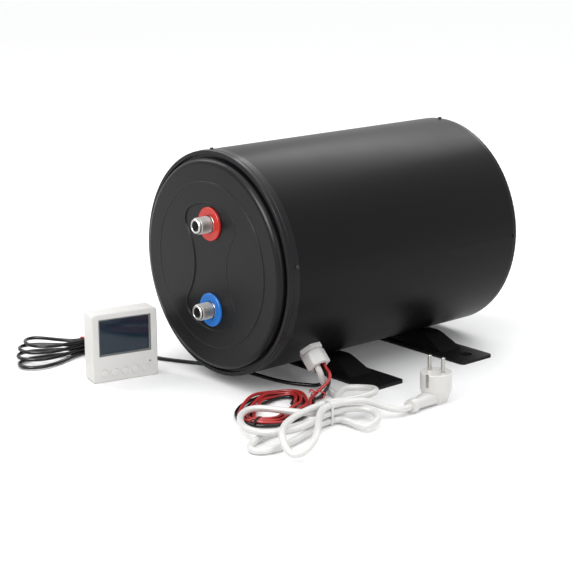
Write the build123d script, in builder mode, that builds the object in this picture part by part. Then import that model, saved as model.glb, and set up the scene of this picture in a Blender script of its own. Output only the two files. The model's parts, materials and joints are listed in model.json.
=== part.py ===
from build123d import *
import os
from math import ceil, cos, pi, radians, sin, sqrt, tan

import numpy as np

# Storage water heater for a caravan, with its wall control panel, mains lead,
# low voltage lead and control lead. All sizes are millimetres. +Z is up, the
# tank's axis runs along Y and the water fittings face -Y. The origin is the
# centre of the four foot holes, on the face that the heater is mounted on.

# Driving sizes of the heater body
jacket_radius = 140.0
body_length = 393.0
jacket_lift = 10.0
axis_height = jacket_radius + jacket_lift
sheet = 1.0
cover_wall = 2.5
skirt_wall = 2.0
fit_gap = 0.2
overrun = 1.0

# Feet
bracket_spacing = 161.0
front_bracket_setback = 141.0
foot_length = 320.0
foot_hole_edge = 23.0
foot_hole_spacing = foot_length - 2 * foot_hole_edge
foot_width = 56.0
foot_thickness = 4.0
foot_corner = 6.0
foot_edge = 0.8
saddle_width = 40.0
saddle_wall = 3.0
saddle_draft = 17.0
saddle_half_seat = 56.0
saddle_half_crest = 77.0
saddle_half_base = 119.0
saddle_crest_lift = 12.0
saddle_crest_height = jacket_lift + saddle_crest_lift
saddle_round = 28.0
foot_hole = 6.5
foot_pad_radius = 8.5
foot_pad_depth = 1.2
bracket_screw_offset = 34.0
bracket_screw_shank = 4.0
bracket_screw_head = 8.0
bracket_screw_head_height = 2.4
bracket_screw_grip = 1.4

# Front cover
front_skirt = 16.0
rim_width = 5.0
groove_width = 4.0
groove_depth = 3.5
dish_height = 8.0
shoulder_round = 7.0
step_radius = 104.0
step_height = 0.6
step_ramp = 1.5
pad_thickness = 5.1
bead_place = 6.4
bead_width = 1.0
bead_height = 0.4
spigot_length = 9.0
spigot_wall = 3.4
label_radius = 80.0
label_notch_radius = 70.0
label_half_waist = 31.5
label_corner = 18.0
label_depth = 1.2
label_slope = 55.0
cover_screw_setback = 12.0
cover_screw_turn = 8.0

# Rear cover
rear_skirt = 6.8
rear_step = 3.3
rear_rim_width = 7.0
rear_wall = 2.5
rear_neck_length = 5.0
rear_screw_setback = 4.2
rear_screw_turn = 0.0

# Cover screws
screw_count = 4
cover_screw_shank = 3.0
cover_screw_head = 4.6
cover_screw_head_height = 1.8
cover_screw_length = 5.0

# Water fittings
hot_height = 51.3
cold_drop = 56.5
thread_diameter = 20.955
water_bore = 13.0
stub_reach = 30.5
thread_run = 18.0
stub_shank = 20.0
lip_wall = 2.3
marker_diameter = 41.5
marker_thickness = 2.9
marker_chamfer = 0.6
weld_collar_radius = 15.0
weld_collar_length = 4.0
weld_collar_lift = 4.8
pipe_radius = 8.0
pipe_wall = 1.2
pickup_bend = 24.0
pickup_clearance = 8.0
diffuser_length = 60.0

# Inner tank
tank_radius = 110.0
tank_wall = 1.5
tank_crown_radius = 200.0
tank_knuckle = 24.0
tank_setback = 36.0
tank_rear_gap = 24.0

# Heating elements, one each side of the fittings
element_offset = 52.0
element_drop = 3.0
boss_radius = 23.0
boss_setback = 28.0
element_thread = 33.0
element_hex = 41.0
element_hex_height = 8.0
element_wire = 8.0
element_leg_spacing = 20.0
mains_element_length = 230.0
dc_element_length = 150.0
tab_width = 6.3
tab_thickness = 0.8
tab_length = 8.0

# Sensing and wiring
pocket_radius = 5.0
pocket_wall = 1.0
pocket_length = 90.0
pocket_head = 3.0
pocket_head_lift = 2.4
pocket_offset = 50.0
pocket_rise = 42.0
sensor_length = 40.0
cutout_radius = 8.0
cutout_height = 9.0
cutout_cap_radius = 6.0
cutout_cap_height = 3.0
cutout_seat_gap = 0.3
foam_setback = 30.0
foam_skin_gap = 0.4
terminal_length = 44.0
terminal_width = 18.0
terminal_height = 13.0
terminal_ways = 5
terminal_bore = 3.4
terminal_radius = 88.0

# Cable gland, square to the jacket
gland_angle = -45.0
gland_setback = 66.0
gland_flats = 27.0
gland_base = 6.0
gland_thread = 24.8
gland_inner_reach = 9.0
gland_neck = 22.0
gland_neck_length = 12.0
gland_bore = 17.0
gland_cap_length = 20.0
gland_cap_round = 4.0
gland_step = 0.3
gland_exit = 16.8
seal_reach = 23.5
locknut_flats = 30.0
locknut_height = 4.0
locknut_gap = 0.9

# Cords
mains_diameter = 8.0
dc_diameter = 4.0
control_diameter = 4.8
lay_gap = 0.05
mains_first_run = 9.0
dc_first_run = 7.0
control_first_run = 7.5
coil_first_run = 8.0
plug_last_run = 14.0
panel_last_run = 12.0

# Control panel
panel_width = 86.5
panel_height = 88.0
panel_depth = 28.0
panel_split = 14.0
panel_wall = 2.2
panel_corner = 5.0
panel_edge = 2.4
panel_turn = 77.1
panel_side = -81.8
panel_ahead = -301.8
window_width = 69.0
window_height = 47.3
window_centre_height = 57.1
window_recess = 0.5
window_glass = 1.6
window_ledge = 2.0
lcd_thickness = 5.0
board_thickness = 1.6
board_margin = 3.0
board_setback = 9.5
button_count = 5
button_diameter = 9.6
button_pitch = 13.6
button_centre_height = 11.6
button_side_shift = -0.8
button_gap = 0.25
button_proud = 0.9
button_travel = 0.6
button_flange = 1.0
button_flange_height = 1.0
button_crown = 0.5
switch_size = 4.2
led_diameter = 2.4
led_side = 32.6
led_height = 19.5
cable_port_height = 52.0
panel_screw_inset = 6.4
panel_screw_shank = 2.2
panel_screw_head = 4.4
panel_screw_head_height = 1.6
post_radius = 3.6

# Mains plug, lying with its pins up
plug_diameter = 38.6
plug_top = 38.0
plug_head_depth = 21.0
plug_pin_diameter = 4.8
plug_pin_length = 19.0
plug_pin_spacing = 19.0
plug_pin_root = 8.0
plug_pin_tip = 1.0
plug_socket_radius = 2.6
plug_socket_depth = 16.0
plug_socket_offset = 9.5
plug_clip_width = 4.0
plug_clip_depth = 1.6
plug_clip_gap = 0.2
plug_reach = 55.0
plug_tail_radius = 8.5
plug_tail_neck = 6.2
plug_neck_width = 24.0
plug_turn = -79.0
plug_axis = (237.4, -76.5)
plug_base_width = 22.0

# Places worked out from the driving sizes
front = -front_bracket_setback - bracket_spacing / 2
shell_bore = jacket_radius - sheet
neck_radius = jacket_radius - skirt_wall - fit_gap
spigot_radius = neck_radius - sheet - fit_gap
groove_outer = jacket_radius - rim_width
groove_inner = groove_outer - groove_width
bracket_screw_lift = axis_height - sqrt(jacket_radius**2 - bracket_screw_offset**2)
bracket_screw_tip = bracket_screw_lift + sheet + bracket_screw_grip
body_axis = Axis((0, 0, axis_height), (0, 1, 0))
turning = Plane(origin=(0, front, axis_height), x_dir=(1, 0, 0), z_dir=(0, 0, 1))
face_plane = Plane(origin=(0, front, axis_height), x_dir=(1, 0, 0), z_dir=(0, -1, 0))

os.makedirs("parts", exist_ok=True)


def keep(piece, name):
    """Label a finished piece and write it as a node of that name."""
    piece.part.label = name
    export_step(piece.part, f"parts/{name}.step")


def radial_plane(angle, setback, radius):
    """Plane whose normal points away from the tank's axis at an angle in XZ."""
    outward = Vector(cos(radians(angle)), 0, sin(radians(angle)))
    origin = Vector(0, front + setback, axis_height) + outward * radius
    return Plane(origin=origin, x_dir=(0, 1, 0), z_dir=outward)


# Jacket: rolled sheet with a stepped-in neck under each cover
seam = front_skirt + fit_gap
front_neck = front_skirt - spigot_length
rear_seam = body_length - rear_skirt - fit_gap
rear_neck = rear_seam + fit_gap + rear_neck_length
with BuildSketch(turning) as jacket_section:
    with BuildLine():
        Polyline(
            (neck_radius, front_neck),
            (neck_radius, seam),
            (jacket_radius, seam),
            (jacket_radius, rear_seam),
            (neck_radius, rear_seam),
            (neck_radius, rear_neck),
            (neck_radius - sheet, rear_neck),
            (neck_radius - sheet, rear_seam - sheet),
            (shell_bore, rear_seam - sheet),
            (shell_bore, seam + sheet),
            (neck_radius - sheet, seam + sheet),
            (neck_radius - sheet, front_neck),
            close=True,
        )
    make_face()

gland_hole_plane = radial_plane(gland_angle, gland_setback, tank_radius)
front_screw_angles = [cover_screw_turn + 360 / screw_count * i for i in range(screw_count)]
rear_screw_angles = [rear_screw_turn + 360 / screw_count * i for i in range(screw_count)]
with BuildPart() as jacket:
    revolve(jacket_section.sketch, axis=body_axis)
    with BuildSketch(gland_hole_plane):
        Circle(gland_thread / 2 + fit_gap)
    extrude(amount=jacket_radius - tank_radius + overrun, mode=Mode.SUBTRACT)
    for angle in front_screw_angles:
        with BuildSketch(radial_plane(angle, cover_screw_setback, spigot_radius)):
            Circle(cover_screw_shank / 2 + fit_gap)
        extrude(amount=skirt_wall + overrun, mode=Mode.SUBTRACT)
    for angle in rear_screw_angles:
        with BuildSketch(radial_plane(angle, body_length - rear_screw_setback, spigot_radius)):
            Circle(cover_screw_shank / 2 + fit_gap)
        extrude(amount=skirt_wall + overrun, mode=Mode.SUBTRACT)
    with BuildSketch(Plane.XY):
        with GridLocations(2 * bracket_screw_offset, bracket_spacing, 2, 2):
            Circle(bracket_screw_shank / 2 + fit_gap)
    extrude(amount=bracket_screw_tip + overrun, mode=Mode.SUBTRACT)
keep(jacket, "jacket")

# Front cover: moulded dish with a rim, a groove and a spigot inside the neck
dish_face = -dish_height
pad_face = dish_face - step_height
inner_face = dish_face + cover_wall
pad_back = pad_face + pad_thickness
groove_back = groove_depth + cover_wall
slot_floor = front_neck - fit_gap
spigot_inner = spigot_radius - spigot_wall
with BuildSketch(turning) as cover_section:
    with BuildLine():
        Polyline(
            (0, pad_face),
            (step_radius - step_ramp, pad_face),
            (step_radius, dish_face),
            (groove_inner, dish_face),
            (groove_inner, groove_depth),
            (groove_outer - fit_gap, groove_depth),
            (groove_outer, 0),
            (jacket_radius, 0),
            (jacket_radius, bead_place - bead_width / 2),
            (jacket_radius + bead_height, bead_place),
            (jacket_radius, bead_place + bead_width / 2),
            (jacket_radius, front_skirt),
            (jacket_radius - skirt_wall, front_skirt),
            (jacket_radius - skirt_wall, slot_floor),
            (spigot_radius, slot_floor),
            (spigot_radius, front_skirt - fit_gap),
            (spigot_inner, front_skirt - fit_gap),
            (spigot_inner, groove_back),
            (groove_inner - cover_wall, groove_back),
            (groove_inner - cover_wall, inner_face),
            (step_radius, inner_face),
            (step_radius - cover_wall, pad_back),
            (0, pad_back),
            close=True,
        )
    make_face()
    shoulder = [v for v in vertices() if abs(v.X - groove_inner) < fit_gap]
    fillet(sorted(shoulder, key=lambda v: v.Y)[:1], shoulder_round)
    inner_shoulder = [v for v in vertices() if abs(v.X - groove_inner + cover_wall) < fit_gap]
    fillet(sorted(inner_shoulder, key=lambda v: v.Y)[:1], shoulder_round - cover_wall)
    rim = [v for v in vertices() if abs(v.X - jacket_radius) < fit_gap]
    fillet(sorted(rim, key=lambda v: v.Y)[:1], skirt_wall / 2)

label_centre = (hot_height - cold_drop) / 2
notch_centre = label_half_waist + label_notch_radius
fitting_spots = [(0, hot_height), (0, -cold_drop)]


def label_outline(depth):
    """Waisted outline of the recess at a depth below the pad's face."""
    inset = depth * tan(radians(label_slope))
    with BuildSketch(face_plane.offset(-pad_face - depth)) as outline:
        with Locations((0, label_centre)):
            Circle(label_radius - inset)
        with Locations((notch_centre, label_centre), (-notch_centre, label_centre)):
            Circle(label_notch_radius + inset, mode=Mode.SUBTRACT)
        fillet(vertices(), label_corner - inset)
    return outline.sketch.face()


label_recess = loft([label_outline(-fit_gap), label_outline(label_depth)])
with BuildPart() as front_cover:
    revolve(cover_section.sketch, axis=body_axis)
    add(label_recess, mode=Mode.SUBTRACT)
    with BuildSketch(face_plane.offset(-pad_face)):
        with Locations(fitting_spots):
            Circle(thread_diameter / 2 + fit_gap)
    extrude(amount=-pad_thickness - overrun, mode=Mode.SUBTRACT)
    for angle in front_screw_angles:
        with BuildSketch(radial_plane(angle, cover_screw_setback, spigot_radius - spigot_wall)):
            Circle(cover_screw_shank / 2 + fit_gap)
        extrude(amount=spigot_wall + skirt_wall + sheet + overrun, mode=Mode.SUBTRACT)
keep(front_cover, "front_cover")

# Rear cover: shallow pan whose rim grips the rear neck of the jacket
rear_slot = rear_neck + fit_gap
rear_rim_inner = jacket_radius - rear_rim_width
with BuildSketch(turning) as rear_section:
    with BuildLine():
        Polyline(
            (0, body_length - rear_step),
            (rear_rim_inner - rear_step / 2, body_length - rear_step),
            (rear_rim_inner, body_length),
            (jacket_radius, body_length),
            (jacket_radius, body_length - rear_skirt),
            (jacket_radius - skirt_wall, body_length - rear_skirt),
            (jacket_radius - skirt_wall, rear_slot),
            (spigot_radius, rear_slot),
            (spigot_radius, body_length - rear_skirt),
            (spigot_inner, body_length - rear_skirt),
            (spigot_inner - rear_wall, body_length - rear_step - rear_wall),
            (0, body_length - rear_step - rear_wall),
            close=True,
        )
    make_face()
    rear_rim = [v for v in vertices() if v.X > jacket_radius - fit_gap]
    fillet(sorted(rear_rim, key=lambda v: v.Y)[-1:], skirt_wall / 2)

with BuildPart() as rear_cover:
    revolve(rear_section.sketch, axis=body_axis)
    for angle in rear_screw_angles:
        setback = body_length - rear_screw_setback
        with BuildSketch(radial_plane(angle, setback, spigot_radius - cover_screw_length)):
            Circle(cover_screw_shank / 2 + fit_gap)
        extrude(amount=cover_screw_length + skirt_wall + sheet + overrun, mode=Mode.SUBTRACT)
keep(rear_cover, "rear_cover")

# Cover screws: low round heads on the skirt, shanks into the spigot
def cover_screws(angles, setback, name):
    """Write one node that holds a ring of radial screws."""
    with BuildPart() as screws:
        for angle in angles:
            with BuildSketch(radial_plane(angle, setback, jacket_radius - cover_screw_length)):
                Circle(cover_screw_shank / 2)
            extrude(amount=cover_screw_length + fit_gap)
            with BuildSketch(radial_plane(angle, setback, jacket_radius + fit_gap)):
                Circle(cover_screw_head / 2)
            extrude(amount=cover_screw_head_height)
        crowns = [e for e in screws.edges().filter_by(GeomType.CIRCLE)
                  if abs(e.radius - cover_screw_head / 2) < fit_gap
                  and (Vector(e.arc_center.X, 0, e.arc_center.Z - axis_height).length
                       > jacket_radius + cover_screw_head_height / 2)]
        fillet(crowns, cover_screw_head_height / 3)
    keep(screws, name)


cover_screws(front_screw_angles, cover_screw_setback, "front_cover_screws")
cover_screws(rear_screw_angles, body_length - rear_screw_setback, "rear_cover_screws")


# Inner tank: stainless vessel with two dished ends
def tank_section(inset):
    """Half section of the tank, inset from its outer skin."""
    radius = tank_radius - inset
    crown = tank_crown_radius - inset
    near = tank_setback + inset
    far = body_length - tank_rear_gap - inset
    sagitta = crown - sqrt(crown**2 - radius**2)
    with BuildSketch(turning) as section:
        with BuildLine():
            Line((0, near), (0, far))
            RadiusArc((0, far), (radius, far - sagitta), crown)
            Line((radius, far - sagitta), (radius, near + sagitta))
            RadiusArc((radius, near + sagitta), (0, near), crown)
        make_face()
        knuckles = [v for v in vertices() if v.X > radius - fit_gap]
        fillet(knuckles, tank_knuckle - inset)
    return section.sketch


element_spots = [(element_offset, -element_drop), (-element_offset, -element_drop)]
pocket_spot = (-pocket_offset, pocket_rise)
boss_depth = tank_setback + tank_knuckle / 2 - boss_setback
with BuildPart() as inner_tank:
    revolve(tank_section(0), axis=body_axis)
    with BuildSketch(face_plane.offset(-boss_setback)):
        with Locations(element_spots):
            Circle(boss_radius)
    extrude(amount=-boss_depth)
    revolve(tank_section(tank_wall), axis=body_axis, mode=Mode.SUBTRACT)
    with BuildSketch(face_plane.offset(-boss_setback)):
        with Locations(element_spots):
            Circle(element_thread / 2 + fit_gap)
    extrude(amount=-boss_depth - overrun, mode=Mode.SUBTRACT)
    with BuildSketch(face_plane.offset(-boss_setback)):
        with Locations(fitting_spots):
            Circle(thread_diameter / 2 + fit_gap)
        with Locations(pocket_spot):
            Circle(pocket_radius + fit_gap)
    extrude(amount=-body_length / 4, mode=Mode.SUBTRACT)
keep(inner_tank, "inner_tank")


def dome_setback(radius):
    """Distance of the tank's front dome behind the rim plane at a radius."""
    return tank_setback + tank_crown_radius - sqrt(tank_crown_radius**2 - radius**2)


# Insulation: foam shell between the tank and the jacket
foam_outer = neck_radius - sheet - foam_skin_gap
with BuildPart() as insulation:
    with BuildSketch(turning):
        with Locations(((foam_outer) / 2, body_length / 2)):
            Rectangle(foam_outer, body_length - foam_setback * 2 + fit_gap)
    revolve(axis=body_axis)
    revolve(tank_section(-foam_skin_gap), axis=body_axis, mode=Mode.SUBTRACT)
    with BuildSketch(face_plane):
        with Locations(element_spots):
            Circle(boss_radius + foam_skin_gap)
        with Locations(fitting_spots):
            Circle(weld_collar_radius + foam_skin_gap)
        with Locations(pocket_spot):
            Circle(pocket_radius + pocket_wall + foam_skin_gap)
        Circle(cutout_radius + foam_skin_gap)
    extrude(amount=-body_length / 3, mode=Mode.SUBTRACT)
    with BuildSketch(radial_plane(gland_angle, gland_setback, tank_radius + tank_wall)):
        Rectangle(locknut_flats * 2, locknut_flats * 3 / 2)
    extrude(amount=jacket_radius - tank_radius, mode=Mode.SUBTRACT)
    with BuildSketch(radial_plane(gland_angle, foam_setback, terminal_radius - terminal_height)):
        Rectangle(gland_setback, terminal_length * 3 / 2)
    extrude(amount=jacket_radius - terminal_radius + terminal_height, mode=Mode.SUBTRACT)
keep(insulation, "insulation")


# Water stubs: threaded stainless pipes welded into the tank's front dome
def water_stub(height, name):
    """Write a threaded pipe stub and its weld collar at a height on the axis."""
    spot = (0, height)
    root = dome_setback(abs(height))
    with BuildPart() as stub:
        with BuildSketch(face_plane.offset(stub_reach)):
            with Locations(spot):
                Circle(thread_diameter / 2)
        extrude(amount=-thread_run - lip_wall / 2)
        lip = stub.faces().sort_by(Axis.Y)[0].edges()
        chamfer(lip, lip_wall / 2)
        with BuildSketch(face_plane.offset(stub_reach - thread_run)):
            with Locations(spot):
                Circle(stub_shank / 2)
        extrude(amount=-stub_reach + thread_run - root)
        with BuildSketch(face_plane.offset(-root + weld_collar_length + weld_collar_lift)):
            with Locations(spot):
                Circle(weld_collar_radius)
        extrude(amount=-weld_collar_length)
        with BuildSketch(face_plane.offset(stub_reach)):
            with Locations(spot):
                Circle(water_bore / 2)
        extrude(amount=-stub_reach - root, mode=Mode.SUBTRACT)
    keep(stub, name)
    return root


hot_root = water_stub(hot_height, "hot_outlet_stub")
cold_root = water_stub(-cold_drop, "cold_inlet_stub")


# Coloured markers round the fittings, seated in the recess of the cover
recess_floor = pad_face + label_depth
def fitting_marker(height, name):
    """Write a coloured washer at the root of a water fitting."""
    with BuildPart() as marker:
        with BuildSketch(face_plane.offset(-recess_floor)):
            with Locations((0, height)):
                Circle(marker_diameter / 2)
                Circle(thread_diameter / 2 + fit_gap, mode=Mode.SUBTRACT)
        extrude(amount=marker_thickness)
        chamfer(marker.faces().sort_by(Axis.Y)[0].edges(), marker_chamfer)
    keep(marker, name)


fitting_marker(hot_height, "hot_marker_ring")
fitting_marker(-cold_drop, "cold_marker_ring")


# Pipes inside the tank: the hot one reaches up, the cold one spreads low
def inner_pipe(height, root, rise, name):
    """Write a bent pipe that starts behind a stub and ends at a rise from it."""
    start = Vector(0, front + root + lay_gap, axis_height + height)
    elbow = start + Vector(0, pickup_bend + diffuser_length / 2, 0)
    path_end = elbow + Vector(0, pickup_bend, rise)
    with BuildPart() as pipe:
        with BuildLine() as route:
            FilletPolyline(start, elbow, path_end, radius=pickup_bend / 2)
        with BuildSketch(Plane(origin=start, x_dir=(1, 0, 0), z_dir=(0, 1, 0))):
            Circle(pipe_radius)
            Circle(pipe_radius - pipe_wall, mode=Mode.SUBTRACT)
        sweep(path=route.line)
    keep(pipe, name)


pickup_rise = tank_radius - tank_wall - pickup_clearance - pipe_radius - hot_height
diffuser_rise = tank_radius - tank_wall - pickup_clearance - pipe_radius - cold_drop
inner_pipe(hot_height, hot_root, pickup_rise, "hot_pickup_pipe")
inner_pipe(-cold_drop, cold_root, -diffuser_rise, "cold_inlet_pipe")


# Screw-in heating elements: hexagon head, thread, hairpin and two tabs
def heating_element(side, length, name):
    """Write a hairpin element on one side of the fittings."""
    centre = Vector(side * element_offset, front, axis_height - element_drop)
    half = element_leg_spacing / 2
    head_face = boss_setback - element_hex_height - fit_gap
    thread_end = boss_setback + boss_depth / 2
    bend = front + thread_end + length
    foot = front + thread_end - fit_gap
    with BuildPart() as element:
        with BuildSketch(face_plane.offset(-head_face)):
            with Locations((side * element_offset, -element_drop)):
                RegularPolygon(element_hex / 2, 6, major_radius=False)
        extrude(amount=-element_hex_height)
        with BuildSketch(face_plane.offset(-head_face - element_hex_height)):
            with Locations((side * element_offset, -element_drop)):
                Circle(element_thread / 2)
        extrude(amount=-thread_end + head_face + element_hex_height)
        with BuildLine() as hairpin:
            down = Line(Vector(centre.X, foot, centre.Z + half), Vector(centre.X, bend, centre.Z + half))
            turn = ThreePointArc(down @ 1, Vector(centre.X, bend + half, centre.Z),
                                 Vector(centre.X, bend, centre.Z - half))
            Line(turn @ 1, Vector(centre.X, foot, centre.Z - half))
        with BuildSketch(Plane(origin=down @ 0, x_dir=(1, 0, 0), z_dir=(0, 1, 0))):
            Circle(element_wire / 2)
        sweep(path=hairpin.line)
        with BuildSketch(face_plane.offset(-head_face)):
            with Locations((side * element_offset, -element_drop + half),
                           (side * element_offset, -element_drop - half)):
                Rectangle(tab_width, tab_thickness)
        extrude(amount=tab_length)
    keep(element, name)


heating_element(1, mains_element_length, "mains_element")
heating_element(-1, dc_element_length, "dc_element")

# Sensor pocket, sensor and over-temperature cutout on the front dome
pocket_root = dome_setback(sqrt(pocket_offset**2 + pocket_rise**2)) - pocket_head_lift
with BuildPart() as sensor_pocket:
    with BuildSketch(face_plane.offset(-pocket_root + pocket_head)):
        with Locations(pocket_spot):
            Circle(pocket_radius + pocket_wall)
    extrude(amount=-pocket_head + fit_gap)
    with BuildSketch(face_plane.offset(-pocket_root + pocket_head)):
        with Locations(pocket_spot):
            Circle(pocket_radius)
    extrude(amount=-pocket_length)
    with BuildSketch(face_plane.offset(-pocket_root + pocket_head)):
        with Locations(pocket_spot):
            Circle(pocket_radius - pocket_wall)
    extrude(amount=-pocket_length + pocket_wall, mode=Mode.SUBTRACT)
keep(sensor_pocket, "sensor_pocket")

with BuildPart() as temperature_sensor:
    with BuildSketch(face_plane.offset(-pocket_root - pocket_length + pocket_head + pocket_wall + fit_gap)):
        with Locations(pocket_spot):
            Circle(pocket_radius - pocket_wall - fit_gap)
    extrude(amount=sensor_length)
    fillet(temperature_sensor.edges().filter_by(GeomType.CIRCLE), pocket_wall)
keep(temperature_sensor, "temperature_sensor")

with BuildPart() as thermal_cutout:
    with BuildSketch(face_plane.offset(-tank_setback + cutout_seat_gap)):
        Circle(cutout_radius)
    extrude(amount=cutout_height - cutout_cap_height)
    with BuildSketch(face_plane.offset(-tank_setback + cutout_seat_gap + cutout_height - cutout_cap_height)):
        Circle(cutout_cap_radius)
    extrude(amount=cutout_cap_height)
keep(thermal_cutout, "thermal_cutout")

# Terminal block in the wiring space of the foam, near the gland
terminal_plane = radial_plane(gland_angle, foam_setback, terminal_radius)
with BuildPart() as terminal_block:
    with BuildSketch(radial_plane(gland_angle, foam_setback, terminal_radius - terminal_height + fit_gap)):
        Rectangle(terminal_width, terminal_length)
    extrude(amount=terminal_height)
    top = terminal_block.faces().sort_by(Axis(terminal_plane.origin, terminal_plane.z_dir))[-1]
    chamfer(top.edges(), terminal_bore / 4)
    way = terminal_length / terminal_ways
    with BuildSketch(terminal_plane.offset(fit_gap)):
        with GridLocations(terminal_width / 2, way, 2, terminal_ways):
            Circle(terminal_bore / 2)
    extrude(amount=-terminal_height / 2, mode=Mode.SUBTRACT)
keep(terminal_block, "terminal_block")

# Cable gland: body, locknut, rubber seal and cap nut
gland_seat = radial_plane(gland_angle, gland_setback, jacket_radius)
gland_cap_start = gland_base + gland_step
with BuildPart() as gland_body:
    with BuildSketch(gland_seat):
        RegularPolygon(gland_flats / 2, 6, major_radius=False)
    extrude(amount=gland_base)
    with BuildSketch(gland_seat.offset(-gland_inner_reach)):
        Circle(gland_thread / 2)
    extrude(amount=gland_inner_reach)
    with BuildSketch(gland_seat.offset(gland_base)):
        Circle(gland_neck / 2)
    extrude(amount=gland_neck_length)
    with BuildSketch(gland_seat.offset(-gland_inner_reach)):
        Circle(gland_bore / 2)
    extrude(amount=gland_inner_reach + gland_base + gland_neck_length, mode=Mode.SUBTRACT)
keep(gland_body, "gland_body")

nut_sag = shell_bore - sqrt(shell_bore**2 - (locknut_flats / 2)**2)
with BuildPart() as gland_locknut:
    with BuildSketch(gland_seat.offset(-sheet - locknut_gap - nut_sag)):
        RegularPolygon(locknut_flats / 2, 6, major_radius=False)
        Circle(gland_thread / 2 + fit_gap, mode=Mode.SUBTRACT)
    extrude(amount=-locknut_height)
keep(gland_locknut, "gland_locknut")

gland_end = gland_base + gland_cap_length
with BuildPart() as gland_cap_nut:
    with BuildSketch(gland_seat.offset(gland_cap_start)):
        RegularPolygon(gland_flats / 2, 6, major_radius=False)
    extrude(amount=gland_cap_length - gland_step)
    with BuildSketch(gland_seat.offset(gland_cap_start)):
        Circle(gland_flats / 2 / cos(pi / 6))
    extrude(amount=gland_cap_length - gland_step, mode=Mode.INTERSECT)
    tip = gland_cap_nut.faces().sort_by(Axis(gland_seat.origin, gland_seat.z_dir))[-1]
    chamfer(tip.edges(), gland_cap_round, gland_cap_round / 2)
    with BuildSketch(gland_seat.offset(gland_cap_start)):
        Circle(gland_neck / 2 + fit_gap)
    extrude(amount=gland_neck_length, mode=Mode.SUBTRACT)
    with BuildSketch(gland_seat.offset(gland_cap_start)):
        Circle(gland_exit / 2 + fit_gap)
    extrude(amount=gland_cap_length, mode=Mode.SUBTRACT)
keep(gland_cap_nut, "gland_cap_nut")

with BuildPart() as gland_seal:
    with BuildSketch(gland_seat.offset(gland_base)):
        Circle(gland_exit / 2 - fit_gap)
    extrude(amount=seal_reach - gland_base)
keep(gland_seal, "gland_seal")


# Feet: pressed saddles with a hollow drafted hump between two flat tabs
def saddle_outline(inset):
    """Side view of the hump, from the mounting face to the jacket."""
    seat_radius = jacket_radius + fit_gap + inset
    crest = saddle_crest_height - inset
    seat_height = axis_height - sqrt(seat_radius**2 - saddle_half_seat**2)
    seat_low = axis_height - seat_radius
    base = saddle_half_base - inset
    half_crest = saddle_half_crest - inset / 2
    with BuildSketch(Plane.XZ) as outline:
        with BuildLine():
            Polyline(
                (saddle_half_seat, seat_height),
                (half_crest, crest),
                (base, 0),
                (-base, 0),
                (-half_crest, crest),
                (-saddle_half_seat, seat_height),
            )
            ThreePointArc((-saddle_half_seat, seat_height), (0, seat_low), (saddle_half_seat, seat_height))
        make_face()
        crowns = [v for v in vertices() if abs(abs(v.X) - half_crest) < fit_gap]
        fillet(crowns, saddle_round - inset)
    return outline.sketch


def saddle_hump(inset):
    """Drafted hump of the saddle, or the hollow inside it."""
    half = saddle_width / 2 - inset
    lean = saddle_crest_height * tan(radians(saddle_draft))
    with BuildPart() as hump:
        with BuildSketch(Plane.XZ.offset(-half)):
            add(saddle_outline(inset))
        extrude(amount=saddle_width - 2 * inset)
        with BuildSketch(Plane.YZ.offset(-saddle_half_base)):
            with BuildLine():
                Polyline(
                    (-half, 0),
                    (half, 0),
                    (half - lean, saddle_crest_height),
                    (-half + lean, saddle_crest_height),
                    close=True,
                )
            make_face()
        extrude(amount=2 * saddle_half_base, mode=Mode.INTERSECT)
    return hump.part


outer_hump = saddle_hump(0)
hollow_hump = saddle_hump(saddle_wall)
foot_holes = [(-foot_hole_spacing / 2, 0), (foot_hole_spacing / 2, 0)]
with BuildPart() as foot:
    with BuildSketch():
        RectangleRounded(foot_length, foot_width, foot_corner)
    extrude(amount=foot_thickness)
    fillet(foot.faces().sort_by(Axis.Z)[-1].edges(), foot_edge)
    add(outer_hump)
    add(hollow_hump, mode=Mode.SUBTRACT)
    with BuildSketch(Plane.XY.offset(foot_thickness)):
        with Locations(foot_holes):
            Circle(foot_pad_radius)
    extrude(amount=-foot_pad_depth, mode=Mode.SUBTRACT)
    with BuildSketch():
        with Locations(foot_holes):
            Circle(foot_hole / 2)
    extrude(amount=foot_thickness, mode=Mode.SUBTRACT)
    with BuildSketch(Plane.XY):
        with Locations((-bracket_screw_offset, 0), (bracket_screw_offset, 0)):
            Circle(bracket_screw_shank / 2 + fit_gap)
    extrude(amount=bracket_screw_tip, mode=Mode.SUBTRACT)

bracket_places = {
    "front_bracket": -bracket_spacing / 2,
    "rear_bracket": bracket_spacing / 2,
}
for name, place in bracket_places.items():
    with BuildPart() as bracket:
        add(Pos(0, place, 0) * foot.part)
    keep(bracket, name)

# Screws that hold the jacket down on the saddles, from below
hollow_radius = jacket_radius + fit_gap + saddle_wall
head_reach = bracket_screw_offset - bracket_screw_head / 2
head_top = axis_height - sqrt(hollow_radius**2 - head_reach**2) - fit_gap
with BuildPart() as bracket_screws:
    with BuildSketch(Plane.XY.offset(head_top)):
        with GridLocations(2 * bracket_screw_offset, bracket_spacing, 2, 2):
            Circle(bracket_screw_head / 2)
    extrude(amount=-bracket_screw_head_height)
    with BuildSketch(Plane.XY.offset(head_top)):
        with GridLocations(2 * bracket_screw_offset, bracket_spacing, 2, 2):
            Circle(bracket_screw_shank / 2)
    extrude(amount=bracket_screw_tip - head_top)
keep(bracket_screws, "bracket_screws")


# Cords
corner_share = 0.45
parallel = 1e-9
straight = 0.01
curve_step = 1e-4
gap_reach = 4.0


def arc_radii(points):
    """Radius of the arc at each inner corner, as large as its runs allow."""
    radii = []
    for before, here, after in zip(points, points[1:], points[2:]):
        inward = Vector(*here) - Vector(*before)
        outward = Vector(*after) - Vector(*here)
        half_turn = radians(inward.get_angle(outward)) / 2
        shorter = min(inward.length, outward.length)
        radii.append(corner_share * shorter / tan(half_turn))
    return radii


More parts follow.
